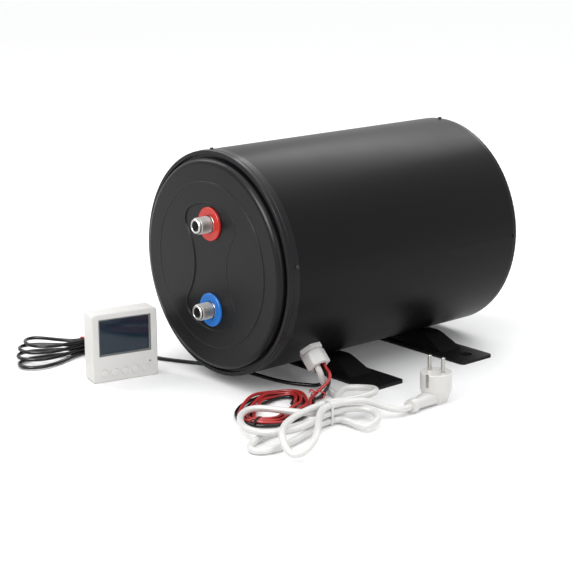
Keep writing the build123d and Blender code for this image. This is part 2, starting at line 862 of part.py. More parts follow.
def cord_tube(points, diameter, name):
    """Write a tube along straight runs joined by tangent arcs."""
    radii = arc_radii(points)
    with BuildPart() as tube:
        with BuildLine() as route:
            FilletPolyline(*points, radius=radii)
        line = route.wire()
        with BuildSketch(Plane(origin=line @ 0, z_dir=line % 0)):
            Circle(diameter / 2)
        sweep(path=line)
    keep(tube, name)
    share = tube.part.volume / (pi * diameter**2 / 4 * line.length)
    print(name, "length", round(line.length, 1), "least radius", round(min(radii), 1),
          "volume share", round(share, 4))
    return line


def biarc(start, start_dir, end, end_dir):
    """Join two points with given directions by two tangent arcs."""
    chord = end - start
    both = start_dir + end_dir
    spread = 2 * (1 - start_dir.dot(end_dir))
    if spread < parallel:
        step = chord.dot(chord) / (4 * chord.dot(end_dir))
    else:
        lead = chord.dot(both)
        step = (-lead + sqrt(lead**2 + spread * chord.dot(chord))) / spread
    middle = (start + start_dir * step + end - end_dir * step) * 0.5
    for a, b, heading in ((start, middle, start_dir), (middle, end, None)):
        if heading is None:
            heading = (end - end_dir * step - start - start_dir * step).normalized()
        if heading.get_angle(b - a) < straight:
            Line(a, b)
        else:
            TangentArc(a, b, tangent=heading)


def wound_tube(nodes, diameter, name):
    """Write a tube on biarcs through points with directions, and print its least gap."""
    with BuildPart() as tube:
        with BuildLine() as route:
            for (start, start_dir), (end, end_dir) in zip(nodes, nodes[1:]):
                biarc(start, start_dir, end, end_dir)
        line = route.wire()
        with BuildSketch(Plane(origin=nodes[0][0], z_dir=nodes[0][1])):
            Circle(diameter / 2)
        sweep(path=line)
    keep(tube, name)
    length = line.length
    count = ceil(length / (diameter / 2))
    places = np.array([tuple(line @ (i / count)) for i in range(count + 1)])
    along = np.arange(count + 1) * length / count
    apart = np.linalg.norm(places[:, None] - places[None, :], axis=2)
    far = np.abs(along[:, None] - along[None, :]) > gap_reach * diameter
    share = tube.part.volume / (pi * diameter**2 / 4 * length)
    print(name, "length", round(length, 1), "least gap", round(float(apart[far].min()) - diameter, 2),
          "volume share", round(share, 4))
    return line


def heading_at(curve, place, step=curve_step):
    """Direction of a curve given as a function of a number."""
    return (curve(place + step) - curve(place - step)).normalized()


class Waist:
    """Tied middle of a hank: where its strands pass, in rows and two columns."""

    def __init__(self, x, y, low, row, column, half_length):
        self.x, self.y, self.low = x, y, low
        self.row, self.column, self.half_length = row, column, half_length

    def strand(self, side, column, row):
        """Point where a strand leaves the waist on the -Y or +Y side."""
        return Vector(self.x + column * self.column / 2,
                      self.y + side * self.half_length,
                      self.low + row * self.row)


def hank_loop(start, finish, side, tilt, reach, widths, sag, first):
    """Loop of a hank as a function from 0 to 1, between two strands of the waist."""

    def place(share):
        out = reach * sin(pi * share)
        width = widths[0] if share < 0.5 else widths[1]
        across = first * width / 2 * sin(2 * pi * share)
        turn = radians(tilt) * (1 + sin(pi * share)) / 2
        ease = share**2 * (3 - 2 * share)
        drop = sag * sin(pi * share)**droop_power
        return Vector(start.X + (finish.X - start.X) * ease + out * sin(turn) + across * cos(turn),
                      start.Y + side * (out * cos(turn) - across * sin(turn)),
                      start.Z + (finish.Z - start.Z) * ease - drop)

    return place


loop_steps = 8
droop_power = 8


def hank_nodes(waist, loops):
    """Points and directions of a hank whose loops alternate from -Y to +Y."""
    nodes = []
    side = -1
    for column, row, next_column, next_row, tilt, reach, widths, sag, first in loops:
        start = waist.strand(side, column, row)
        finish = waist.strand(side, next_column, next_row)
        onward = Vector(0, side, 0)
        if not nodes:
            nodes.append((waist.strand(-side, column, row), onward))
        nodes.append((start, onward))
        curve = hank_loop(start, finish, side, tilt, reach, widths, sag, first)
        for step in range(1, loop_steps):
            share = step / loop_steps
            nodes.append((curve(share), heading_at(curve, share)))
        nodes.append((finish, -onward))
        nodes.append((waist.strand(-side, next_column, next_row), -onward))
        side = -side
    tidy = [nodes[0]]
    for node in nodes[1:]:
        if (node[0] - tidy[-1][0]).length > lay_gap:
            tidy.append(node)
    return tidy


def coil_nodes(centre, heading, half_length, half_width, pitch, height, start_angle, turns):
    """Points and directions of an oval coil that winds inwards, clockwise from above."""
    ahead = Vector(cos(radians(heading)), sin(radians(heading)), 0)
    aside = Vector(-sin(radians(heading)), cos(radians(heading)), 0)

    def place(share):
        angle = radians(start_angle) - 2 * pi * turns * share
        shrink = pitch * turns * share
        flat = ahead * ((half_length - shrink) * cos(angle)) + aside * ((half_width - shrink) * sin(angle))
        return Vector(centre[0], centre[1], height) + flat

    count = int(turns * 4)
    return [(place(i / count), heading_at(place, i / count)) for i in range(count + 1)]


exit_plane = gland_seat.offset(seal_reach)


def at_gland(aside, above):
    """Point on the outer face of the gland's seal."""
    return exit_plane.from_local_coords(Vector(aside, above, 0))


def from_gland(aside, above, first_run, points):
    """Route that leaves the gland square to its face."""
    start = at_gland(aside, above)
    return [start, start + exit_plane.z_dir * first_run] + [Vector(*p) for p in points]


# Mains lead: down from the gland, along the floor and into its tied hank
mains_waist = Waist(x=211.0, y=-227.0, low=5.4, row=9.0, column=8.8, half_length=12.0)
mains_loops = [
    (-1, 0, 1, 0, 9.0, 114.0, (28.0, 34.0), 1.3, -1),
    (1, 0, 1, 1, 64.0, 48.0, (46.0, 34.0), 1.0, 1),
    (1, 1, -1, 1, -42.0, 91.0, (104.0, 58.0), 4.0, 1),
    (-1, 1, -1, 2, -28.0, 84.0, (34.0, 58.0), 4.0, -1),
    (-1, 2, 1, 2, 35.0, 118.0, (26.0, 46.0), 15.0, -1),
]
mains_nodes = hank_nodes(mains_waist, mains_loops)
mains_start = mains_nodes[0][0]
mains_points = from_gland(-3.7, 0, mains_first_run, [
    (122.8, -157.0, 18.5),
    (124.5, -153.8, 10.5),
    (130.5, -152.4, 5.6),
    (142.5, -154.6, 4.3),
    (154.0, -160.0, 4.2),
    (167.0, -167.5, 4.2),
    (181.0, -177.0, 4.2),
    (193.5, -187.5, 4.5),
    (203.0, -198.0, 5.1),
    (mains_start.X, -207.5, mains_start.Z),
]) + [mains_start]
mains_lead_line = cord_tube(mains_points, mains_diameter, "mains_lead")
mains_hank_line = wound_tube(mains_nodes, mains_diameter, "mains_hank")

plug_way = Vector(cos(radians(plug_turn)), sin(radians(plug_turn)), 0)
plug_tail_end = Vector(*plug_axis, plug_tail_radius + lay_gap) + plug_way * plug_reach
mains_end = mains_nodes[-1][0]
mains_tail_points = [
    mains_end,
    Vector(mains_end.X, -206.0, mains_end.Z),
    Vector(222.0, -195.0, 23.8),
    Vector(225.5, -184.5, 22.8),
    Vector(229.5, -174.5, 19.5),
    Vector(235.0, -165.5, 15.0),
    Vector(243.0, -157.0, 11.0),
    plug_tail_end + plug_way * plug_last_run,
    plug_tail_end,
]
mains_tail_line = cord_tube(mains_tail_points, mains_diameter, "mains_tail")

# Low voltage leads: two single wires into one oval coil on the floor
dc_height = 3.2
dc_centre = (133.0, -241.0)
dc_heading = -60.0
dc_entry = 120.0
dc_turns = 3.0
dc_half_length = 72.0
dc_half_width = 46.0
dc_track = 4.7
negative_nodes = coil_nodes(dc_centre, dc_heading, dc_half_length, dc_half_width,
                            2 * dc_track, dc_height, dc_entry, dc_turns)
positive_nodes = coil_nodes(dc_centre, dc_heading, dc_half_length - dc_track, dc_half_width - dc_track,
                            2 * dc_track, dc_height, dc_entry, dc_turns)


def lead_in(nodes, first_run):
    """Last two points of a lead that runs straight into a coil."""
    start, heading = nodes[0]
    return [start - heading * first_run, start]


negative_points = from_gland(5.6, -2.2, dc_first_run, [
    (127.0, -150.6, 22.6),
    (133.0, -153.5, 16.5),
    (136.5, -160.0, 11.0),
    (138.5, -168.0, 6.6),
    (141.0, -176.0, 3.7),
]) + lead_in(negative_nodes, coil_first_run)
positive_points = from_gland(5.6, 2.2, dc_first_run, [
    (130.0, -151.0, 27.5),
    (135.5, -154.5, 22.0),
    (136.0, -161.5, 16.0),
    (133.5, -169.5, 10.5),
    (133.0, -177.5, 5.6),
]) + lead_in(positive_nodes, coil_first_run)
negative_lead_line = cord_tube(negative_points, dc_diameter, "dc_negative_lead")
positive_lead_line = cord_tube(positive_points, dc_diameter, "dc_positive_lead")
negative_coil_line = wound_tube(negative_nodes, dc_diameter, "dc_negative_coil")
positive_coil_line = wound_tube(positive_nodes, dc_diameter, "dc_positive_coil")

# Control lead: under the tank to its hank behind the panel, then up to the panel
control_waist = Waist(x=-206.0, y=-282.0, low=3.6, row=5.5, column=5.6, half_length=11.0)
control_loops = [
    (1, 0, -1, 0, 0.0, 84.0, (38.0, 38.0), 0.0, 1),
    (-1, 0, 1, 1, 4.0, 76.0, (38.0, 38.0), 0.0, -1),
    (1, 1, -1, 1, -16.0, 78.0, (38.0, 38.0), 0.0, 1),
    (-1, 1, 1, 2, 0.0, 72.0, (38.0, 38.0), 0.0, -1),
    (1, 2, -1, 2, -30.0, 74.0, (36.0, 36.0), 0.0, 1),
    (-1, 2, 1, 3, -4.0, 70.0, (38.0, 38.0), 0.0, -1),
    (1, 3, -1, 3, -44.0, 68.0, (36.0, 36.0), 0.0, 1),
]
control_nodes = hank_nodes(control_waist, control_loops)
panel_face_centre = Vector(panel_side, panel_ahead, panel_height / 2)
panel_normal = Vector(sin(radians(panel_turn)), -cos(radians(panel_turn)), 0)
panel_across = Vector(cos(radians(panel_turn)), sin(radians(panel_turn)), 0)
panel_face = Plane(origin=panel_face_centre, x_dir=panel_across, z_dir=panel_normal)
control_start = control_nodes[0][0]
control_points = from_gland(1.6, -5.4, control_first_run, [
    (118.2, -151.8, 18.5),
    (116.8, -149.2, 12.5),
    (112.0, -147.6, 7.3),
    (104.5, -148.0, 3.8),
    (94.0, -152.4, 2.6),
    (80.0, -161.0, 2.5),
    (61.0, -168.5, 2.5),
    (36.0, -172.5, 2.5),
    (4.0, -175.0, 2.5),
    (-30.0, -181.5, 2.5),
    (-66.0, -196.0, 2.5),
    (-98.0, -214.0, 2.5),
    (-128.0, -227.0, 2.5),
    (-157.0, -232.5, 2.5),
    (-178.0, -236.5, 2.5),
    (-193.0, -244.5, 2.7),
    (-201.5, -255.0, 3.2),
    (control_start.X, -264.0, control_start.Z),
]) + [control_start]
control_lead_line = cord_tube(control_points, control_diameter, "control_lead")
control_hank_line = wound_tube(control_nodes, control_diameter, "control_hank")

port = panel_face.from_local_coords(Vector(0, cable_port_height - panel_height / 2, -panel_depth))
control_end = control_nodes[-1][0]
control_tail_points = [
    control_end,
    Vector(control_end.X, -260.0, control_end.Z),
    Vector(-207.0, -248.5, 22.0),
    Vector(-200.5, -239.0, 25.0),
    Vector(-189.5, -233.5, 29.0),
    Vector(-177.0, -234.0, 33.5),
    Vector(-166.0, -240.5, 38.0),
    Vector(-158.0, -251.0, 42.5),
    Vector(-151.0, -263.0, 46.5),
    Vector(-143.0, -274.5, 49.5),
    Vector(-133.5, -284.5, 51.3),
    port - panel_normal * panel_last_run,
    port,
]
control_tail_line = cord_tube(control_tail_points, control_diameter, "control_tail")


# Ties round the waists of the two hanks
def waist_tie(waist, rows, diameter, thickness, width, name):
    """Write a flat band round the strands of a hank's waist."""
    gap = fit_gap
    inner_width = waist.column + diameter + 2 * gap
    inner_height = waist.row * (rows - 1) + diameter + 2 * gap
    middle = waist.low + waist.row * (rows - 1) / 2
    with BuildPart() as tie:
        with BuildSketch(Plane(origin=(waist.x, waist.y, middle), x_dir=(1, 0, 0), z_dir=(0, 1, 0))):
            RectangleRounded(inner_width + 2 * thickness, inner_height + 2 * thickness, diameter / 2)
            RectangleRounded(inner_width, inner_height, diameter / 2 - gap, mode=Mode.SUBTRACT)
        extrude(amount=width / 2, both=True)
    keep(tie, name)


tie_thickness = 0.9
tie_width = 3.0
waist_tie(mains_waist, 3, mains_diameter, tie_thickness, tie_width, "mains_tie")
waist_tie(control_waist, 4, control_diameter, tie_thickness, tie_width, "control_tie")

# Mains plug: round face, angled body and a tapered tail
plug_plane = Plane(origin=(*plug_axis, 0), x_dir=plug_way, z_dir=(0, 0, 1))
head_bottom = plug_top - plug_head_depth
pin_spots = [(0, -plug_pin_spacing / 2), (0, plug_pin_spacing / 2)]
with BuildPart() as plug_body:
    with BuildSketch(plug_plane.offset(head_bottom)):
        Circle(plug_diameter / 2)
    extrude(amount=plug_head_depth)
    with BuildSketch(plug_plane.offset(lay_gap)):
        RectangleRounded(plug_base_width, plug_base_width, plug_base_width / 4)
    with BuildSketch(plug_plane.offset(head_bottom)):
        Circle(plug_diameter / 2)
    loft()
    tail_plane = Plane(origin=plug_tail_end, x_dir=(0, 0, 1), z_dir=-plug_way)
    with BuildSketch(tail_plane):
        Circle(plug_tail_radius)
    with BuildSketch(Plane(origin=tail_plane.origin + tail_plane.z_dir * plug_tail_radius,
                           x_dir=(0, 0, 1), z_dir=-plug_way)):
        Circle(plug_tail_radius)
    loft()
    with BuildSketch(tail_plane.offset(plug_tail_radius)):
        Circle(plug_tail_neck)
    with BuildSketch(Plane(origin=Vector(*plug_axis, head_bottom / 2 + lay_gap), x_dir=(0, 0, 1),
                           z_dir=-plug_way)):
        RectangleRounded(head_bottom, plug_neck_width, head_bottom / 3)
    loft()
    fillet(plug_body.faces().sort_by(Axis.Z)[-1].edges(), plug_pin_tip)
    with BuildSketch(plug_plane.offset(plug_top)):
        with Locations(pin_spots):
            Circle(plug_pin_diameter / 2 + plug_clip_gap)
    extrude(amount=-plug_pin_root - plug_clip_gap, mode=Mode.SUBTRACT)
    with BuildSketch(plug_plane.offset(plug_top)):
        with Locations((-plug_socket_offset, 0)):
            Circle(plug_socket_radius)
    extrude(amount=-plug_socket_depth, mode=Mode.SUBTRACT)
    with BuildSketch(plug_plane.offset(plug_top)):
        with Locations((plug_diameter / 2, 0), (-plug_diameter / 2, 0)):
            Rectangle(2 * (plug_clip_depth + plug_clip_gap), plug_clip_width + 2 * plug_clip_gap)
    extrude(amount=-plug_head_depth * 3 / 4, mode=Mode.SUBTRACT)
keep(plug_body, "plug_body")

with BuildPart() as plug_pins:
    with BuildSketch(plug_plane.offset(plug_top - plug_pin_root)):
        with Locations(pin_spots):
            Circle(plug_pin_diameter / 2)
    extrude(amount=plug_pin_root + plug_pin_length)
    fillet(plug_pins.faces().group_by(Axis.Z)[-1].edges(), plug_pin_tip)
keep(plug_pins, "plug_pins")

with BuildPart() as plug_earth_clips:
    inner_clip = plug_diameter / 2 - plug_clip_depth
    with BuildSketch(plug_plane.offset(plug_top - plug_head_depth * 3 / 4 + plug_clip_gap)):
        with Locations((inner_clip + plug_clip_depth / 2, 0), (-inner_clip - plug_clip_depth / 2, 0)):
            Rectangle(plug_clip_depth - 2 * plug_clip_gap, plug_clip_width)
    extrude(amount=plug_head_depth * 3 / 4 - 2 * plug_clip_gap)
keep(plug_earth_clips, "plug_earth_clips")

# Control panel: front shell, back shell, window, display, board and buttons
half_height = panel_height / 2
window_shift = window_centre_height - half_height
button_row = button_centre_height - half_height
button_spots = [(button_side_shift + button_pitch * (i - (button_count - 1) / 2), button_row)
                for i in range(button_count)]
post_x = panel_width / 2 - panel_screw_inset
post_y = half_height - panel_screw_inset
upper_posts = [(-post_x, post_y), (post_x, post_y)]
back_wall = -panel_depth + panel_wall
with BuildPart() as panel_front_shell:
    with BuildSketch(panel_face.offset(-panel_split)):
        RectangleRounded(panel_width, panel_height, panel_corner)
    extrude(amount=panel_split)
    chamfer(panel_front_shell.faces().sort_by(Axis(panel_face.origin, panel_face.z_dir))[-1].edges(),
            panel_edge / 2)
    with BuildSketch(panel_face.offset(-panel_split)):
        RectangleRounded(panel_width - 2 * panel_wall, panel_height - 2 * panel_wall, panel_corner - panel_wall)
    extrude(amount=panel_split - panel_wall, mode=Mode.SUBTRACT)
    with BuildSketch(panel_face.offset(-panel_wall - overrun)):
        with Locations((0, window_shift)):
            Rectangle(window_width - 2 * window_ledge, window_height - 2 * window_ledge)
        with Locations(button_spots):
            Circle(button_diameter / 2 + button_gap)
        with Locations((led_side, led_height - half_height)):
            Circle(led_diameter / 2 + button_gap)
    extrude(amount=panel_wall + 2 * overrun, mode=Mode.SUBTRACT)
    with BuildSketch(panel_face.offset(-window_recess - window_glass)):
        with Locations((0, window_shift)):
            Rectangle(window_width + fit_gap, window_height + fit_gap)
    extrude(amount=window_recess + window_glass + overrun, mode=Mode.SUBTRACT)
keep(panel_front_shell, "panel_front_shell")

with BuildPart() as panel_back_shell:
    with BuildSketch(panel_face.offset(-panel_depth)):
        RectangleRounded(panel_width, panel_height, panel_corner)
    extrude(amount=panel_depth - panel_split - fit_gap)
    back_face = panel_back_shell.faces().sort_by(Axis(panel_face.origin, panel_face.z_dir))[0]
    chamfer(back_face.edges(), panel_edge / 2)
    with BuildSketch(panel_face.offset(back_wall)):
        RectangleRounded(panel_width - 2 * panel_wall, panel_height - 2 * panel_wall, panel_corner - panel_wall)
    extrude(amount=panel_depth - panel_wall, mode=Mode.SUBTRACT)
    with BuildSketch(panel_face.offset(back_wall)):
        with Locations(upper_posts):
            Circle(post_radius)
            Circle(panel_screw_shank / 2 + fit_gap, mode=Mode.SUBTRACT)
    extrude(amount=panel_depth - panel_wall - board_setback - board_thickness - fit_gap)
    with BuildSketch(panel_face.offset(-panel_depth)):
        with Locations((0, cable_port_height - half_height)):
            Circle(control_diameter / 2 + fit_gap)
    extrude(amount=panel_wall, mode=Mode.SUBTRACT)
keep(panel_back_shell, "panel_back_shell")

with BuildPart() as panel_window:
    with BuildSketch(panel_face.offset(-window_recess - window_glass)):
        with Locations((0, window_shift)):
            Rectangle(window_width - fit_gap, window_height - fit_gap)
    extrude(amount=window_glass)
keep(panel_window, "panel_window")

with BuildPart() as display_module:
    with BuildSketch(panel_face.offset(-board_setback + fit_gap / 2)):
        with Locations((0, window_shift)):
            Rectangle(window_width - 2 * window_ledge - fit_gap, window_height - 2 * window_ledge - fit_gap)
    extrude(amount=lcd_thickness)
keep(display_module, "display_module")

with BuildPart() as panel_board:
    with BuildSketch(panel_face.offset(-board_setback - board_thickness)):
        Rectangle(panel_width - 2 * panel_wall - board_margin, panel_height - 2 * panel_wall - board_margin)
        with Locations(upper_posts):
            Circle(panel_screw_shank / 2 + fit_gap, mode=Mode.SUBTRACT)
    extrude(amount=board_thickness)
    switch_top = -panel_wall - button_flange_height - button_gap - button_travel
    with BuildSketch(panel_face.offset(-board_setback)):
        with Locations(button_spots):
            Rectangle(switch_size, switch_size)
    extrude(amount=board_setback + switch_top - button_gap)
keep(panel_board, "panel_board")

with BuildPart() as status_lamp:
    with BuildSketch(panel_face.offset(-board_setback + fit_gap)):
        with Locations((led_side, led_height - half_height)):
            Circle(led_diameter / 2)
    extrude(amount=board_setback - fit_gap - button_flange / 4)
keep(status_lamp, "status_lamp")

with BuildPart() as panel_screws:
    with BuildSketch(panel_face.offset(-panel_depth + panel_wall + fit_gap)):
        with Locations(upper_posts):
            Circle(panel_screw_shank / 2)
    extrude(amount=panel_depth - panel_wall - board_setback)
    with BuildSketch(panel_face.offset(-board_setback + fit_gap)):
        with Locations(upper_posts):
            Circle(panel_screw_head / 2)
    extrude(amount=panel_screw_head_height)
keep(panel_screws, "panel_screws")

for index, spot in enumerate(button_spots, start=1):
    with BuildPart() as button:
        with BuildSketch(panel_face.offset(-panel_wall - button_gap)):
            with Locations(spot):
                Circle(button_diameter / 2)
        extrude(amount=panel_wall + button_gap + button_proud)
        crown = button.faces().sort_by(Axis(panel_face.origin, panel_face.z_dir))[-1]
        fillet(crown.edges(), button_crown)
        with BuildSketch(panel_face.offset(-panel_wall - button_gap)):
            with Locations(spot):
                Circle(button_diameter / 2 + button_flange)
        extrude(amount=-button_flange_height)
    keep(button, f"button_{index}")
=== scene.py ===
import json
import logging
from dataclasses import dataclass, field
from enum import Enum
from math import atan2, cos, pi, radians, sin
from typing import Sequence

import bpy
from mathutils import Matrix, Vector


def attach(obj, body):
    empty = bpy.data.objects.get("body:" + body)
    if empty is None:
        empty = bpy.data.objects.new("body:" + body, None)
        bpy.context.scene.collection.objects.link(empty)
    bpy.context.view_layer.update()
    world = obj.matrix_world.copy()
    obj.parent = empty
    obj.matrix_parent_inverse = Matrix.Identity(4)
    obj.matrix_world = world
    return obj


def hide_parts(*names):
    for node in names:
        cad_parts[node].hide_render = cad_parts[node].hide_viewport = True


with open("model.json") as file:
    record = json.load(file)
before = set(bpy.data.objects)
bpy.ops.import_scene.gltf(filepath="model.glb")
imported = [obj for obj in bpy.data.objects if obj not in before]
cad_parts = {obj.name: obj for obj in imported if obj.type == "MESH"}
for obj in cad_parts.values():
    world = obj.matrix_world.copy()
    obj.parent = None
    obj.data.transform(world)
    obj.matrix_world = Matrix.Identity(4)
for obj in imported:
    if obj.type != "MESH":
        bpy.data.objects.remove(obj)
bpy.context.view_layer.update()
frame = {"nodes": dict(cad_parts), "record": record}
log = logging.getLogger("water_heater")

MM = 0.001
WELD = MM / 200
ROOT = "heater"
WHITE = (1.0, 1.0, 1.0, 1.0)
UP = Vector((0.0, 0.0, 1.0))
Point = tuple[float, float, float]
Pair = tuple[float, float]


def at(point: Sequence[float]) -> Vector:
    """Turn a place in millimetres, in the row frame, into metres."""
    return Vector(point) * MM


def metric(profile: Sequence[Pair]) -> list[Pair]:
    """Turn the (radius, height) corners of a profile from millimetres into metres."""
    return [(radius * MM, height * MM) for radius, height in profile]


def ease(share: float) -> float:
    """Smooth a share between 0 and 1, so that it starts and stops gently."""
    return share**2 * (3 - 2 * share)


class Wire:
    """Output socket that takes part in arithmetic, adding Math nodes as it goes."""

    def __init__(self, tree: "Tree", socket: bpy.types.NodeSocket) -> None:
        """Hold a socket and the tree that it belongs to."""
        self.tree = tree
        self.socket = socket

    def _join(self, operation: str, first: object, second: object) -> "Wire":
        """Add a Math node for two values, each a number or a Wire."""
        return self.tree.node("ShaderNodeMath", {"operation": operation}, {0: first, 1: second})

    def __add__(self, other: object) -> "Wire":
        """Sum."""
        return self._join("ADD", self, other)

    def __sub__(self, other: object) -> "Wire":
        """Difference."""
        return self._join("SUBTRACT", self, other)

    def __rsub__(self, other: object) -> "Wire":
        """Difference from a number."""
        return self._join("SUBTRACT", other, self)

    def __mul__(self, other: object) -> "Wire":
        """Product."""
        return self._join("MULTIPLY", self, other)

    __radd__ = __add__
    __rmul__ = __mul__


class Tree:
    """Node tree of a material or a world, under construction."""

    def __init__(self, owner: bpy.types.ID, last: str) -> None:
        """Empty the tree and give it its output node.

        Args:
            owner: The material or world.
            last: Type of the output node.
        """
        owner.use_nodes = True
        self.nodes = owner.node_tree.nodes
        self.links = owner.node_tree.links
        self.nodes.clear()
        self.output = self.nodes.new(last)

    def node(self, kind: str, settings: dict, inputs: dict, output: object = 0) -> Wire:
        """Add one node.

        Args:
            kind: Type of the node.
            settings: Its properties.
            inputs: Value or Wire for each input, by name or number.
            output: Name or number of the output to use.

        Returns:
            The chosen output.
        """
        made = self.nodes.new(kind)
        for key, value in settings.items():
            setattr(made, key, value)
        for key, value in inputs.items():
            self.feed(made.inputs[key], value)
        return Wire(self, made.outputs[output])

    def feed(self, socket: bpy.types.NodeSocket, value: object) -> None:
        """Set an input socket to a value, or link a Wire to it.

        Args:
            socket: The input socket.
            value: The value or Wire.
        """
        if isinstance(value, Wire):
            self.links.new(value.socket, socket)
        else:
            socket.default_value = value

    def finish(self, shade: Wire) -> None:
        """Link a shader to the output node."""
        self.links.new(shade.socket, self.output.inputs[0])


class Paint(Tree):
    """Material under construction, with one Principled shader."""

    def __init__(self, name: str) -> None:
        """Start a material.

        Args:
            name: Name of the material.
        """
        self.material = bpy.data.materials.new(name)
        super().__init__(self.material, "ShaderNodeOutputMaterial")
        shade = self.node("ShaderNodeBsdfPrincipled", {}, {})
        self.shader = shade.socket.node
        self.finish(shade)

    def set(self, **values: object) -> None:
        """Set inputs of the Principled shader, with underscores for spaces."""
        for key, value in values.items():
            self.feed(self.shader.inputs[key.replace("_", " ")], value)

    def noise(self, scale: float, detail: float, stretch: Point = (1.0, 1.0, 1.0)) -> Wire:
        """Add noise on the piece's own coordinates.

        Args:
            scale: Number of features in a metre.
            detail: Octaves of the noise.
            stretch: Factor of the scale along each axis.

        Returns:
            The noise from 0 to 1.
        """
        place = self.node("ShaderNodeTexCoord", {}, {}, "Object")
        turned = self.node("ShaderNodeMapping", {}, {"Vector": place, "Scale": stretch})
        inputs = {"Vector": turned, "Scale": scale, "Detail": detail}
        return self.node("ShaderNodeTexNoise", {}, inputs, "Fac")

    def tint(self, mask: Wire, low: Point, high: Point) -> Wire:
        """Mix two colours by a mask, low where it is 0 and high where it is 1."""
        inputs = {0: mask, 6: (*low, 1.0), 7: (*high, 1.0)}
        return self.node("ShaderNodeMix", {"data_type": "RGBA"}, inputs, 2)

    def bump(self, height: Wire, distance: float) -> Wire:
        """Turn a height from 0 to 1 into the normal of a relief that is so many metres deep."""
        inputs = {"Height": height, "Distance": distance, "Strength": 1.0}
        return self.node("ShaderNodeBump", {}, inputs, "Normal")


@dataclass(frozen=True)
class Finish:
    """Finish of one material slot: its colour, gloss and fine relief.

    Clouds and a fine grain shift the colour and the roughness. Both count features in a metre.
    """

    colour: Point
    roughness: float
    metallic: float = 0.0
    specular: float = 0.5
    coat: float = 0.0
    coat_roughness: float = 0.12
    variation: float = 0.12
    smudge: float = 0.08
    relief: float = 0.00002
    grain: float = 900.0
    grain_detail: float = 3.0
    stretch: Point = (1.0, 1.0, 1.0)
    cloud: float = 14.0
    cloud_detail: float = 4.0
    cloud_share: float = 0.6

    def build(self, name: str) -> bpy.types.Material:
        """Make the material.

        Args:
            name: Name of the material.

        Returns:
            The finished material.
        """
        paint = Paint(name)
        clouds = paint.noise(self.cloud, self.cloud_detail)
        grain = paint.noise(self.grain, self.grain_detail, self.stretch)
        mask = clouds * self.cloud_share + grain * (1.0 - self.cloud_share)
        low = tuple(value * (1.0 - self.variation) for value in self.colour)
        high = tuple(min(1.0, value * (1.0 + self.variation)) for value in self.colour)
        rough = (clouds - 0.5) * (2.0 * self.smudge) + grain * self.smudge
        rough += self.roughness - self.smudge / 2
        paint.set(Base_Color=paint.tint(mask, low, high), Roughness=rough,
                  Metallic=self.metallic, Coat_Weight=self.coat, Coat_Roughness=self.coat_roughness,
                  Specular_IOR_Level=self.specular, Normal=paint.bump(grain, self.relief))
        return paint.material


@dataclass(frozen=True)
class WindowFinish:
    """Clear smoked plastic of the panel's window, with faint streaks in its gloss and clearness."""

    colour: Point = (0.01, 0.026, 0.045)
    clearness: float = 0.6
    roughness: float = 0.04
    coat: float = 0.3
    coat_roughness: float = 0.02
    streak: float = 30.0
    streak_detail: float = 2.0
    streak_roughness: float = 0.03
    streak_cover: float = 0.05

    def build(self, name: str) -> bpy.types.Material:
        """Make the material, see-through by its alpha.

        Args:
            name: Name of the material.

        Returns:
            The finished material.
        """
        paint = Paint(name)
        streaks = paint.noise(self.streak, self.streak_detail)
        paint.set(Base_Color=(*self.colour, 1.0),
                  Roughness=streaks * self.streak_roughness + self.roughness,
                  Alpha=streaks * self.streak_cover + (1.0 - self.clearness),
                  Coat_Weight=self.coat, Coat_Roughness=self.coat_roughness)
        return paint.material


FINISHES = {
    "jacket_paint": Finish((0.0045, 0.0045, 0.0052), 0.35, specular=0.11, grain=1400.0, relief=0.000012,
                           smudge=0.04),
    "cover_plastic": Finish((0.0065, 0.0065, 0.0075), 0.3, specular=0.18, grain=2600.0, variation=0.08,
                            smudge=0.03),
    "black_steel": Finish((0.014, 0.014, 0.015), 0.38, specular=0.4),
    "stainless": Finish((0.46, 0.45, 0.435), 0.32, metallic=1.0, grain=500.0, stretch=(1.0, 6.0, 1.0),
                        variation=0.08),
    "foam": Finish((0.8, 0.76, 0.62), 0.85, grain=400.0, relief=0.0003),
    "red_plastic": Finish((0.6, 0.028, 0.02), 0.35, specular=0.35, coat=0.1, variation=0.06),
    "blue_plastic": Finish((0.014, 0.175, 0.6), 0.35, specular=0.35, coat=0.1, variation=0.06),
    "element_metal": Finish((0.5, 0.48, 0.44), 0.35, metallic=1.0),
    "brass_fitting": Finish((0.6, 0.43, 0.15), 0.3, metallic=1.0),
    "sensor_sleeve": Finish((0.6, 0.6, 0.6), 0.25, metallic=1.0),
    "cutout_case": Finish((0.05, 0.03, 0.02), 0.5),
    "white_nylon": Finish((0.74, 0.735, 0.71), 0.4, grain=1200.0, variation=0.04),
    "black_rubber": Finish((0.012, 0.012, 0.012), 0.75),
    "bracket_paint": Finish((0.0065, 0.0065, 0.0072), 0.4, specular=0.15, grain=1500.0),
    "plated_steel": Finish((0.62, 0.6, 0.56), 0.3, metallic=1.0),
    "white_sheath": Finish((0.72, 0.715, 0.695), 0.38, coat=0.1, variation=0.04),
    "black_sheath": Finish((0.004, 0.004, 0.005), 0.18, specular=0.35, variation=0.1, smudge=0.03),
    "red_sheath": Finish((0.48, 0.022, 0.022), 0.38, coat=0.15, variation=0.08),
    "clear_tie": Finish((0.72, 0.72, 0.7), 0.2, coat=0.5, variation=0.04),
    "white_plastic": Finish((0.7, 0.69, 0.665), 0.33, coat=0.2, variation=0.04),
    "nickel": Finish((0.42, 0.41, 0.39), 0.24, metallic=1.0),
    "panel_plastic": Finish((0.72, 0.71, 0.685), 0.45, grain=2400.0, variation=0.04),
    "window_plastic": WindowFinish(),
    "display_face": Finish((0.03, 0.06, 0.1), 0.25, coat=0.2, variation=0.1),
    "board_laminate": Finish((0.02, 0.2, 0.07), 0.4),
    "lamp_lens": Finish((0.3, 0.32, 0.28), 0.15, coat=0.6),
}


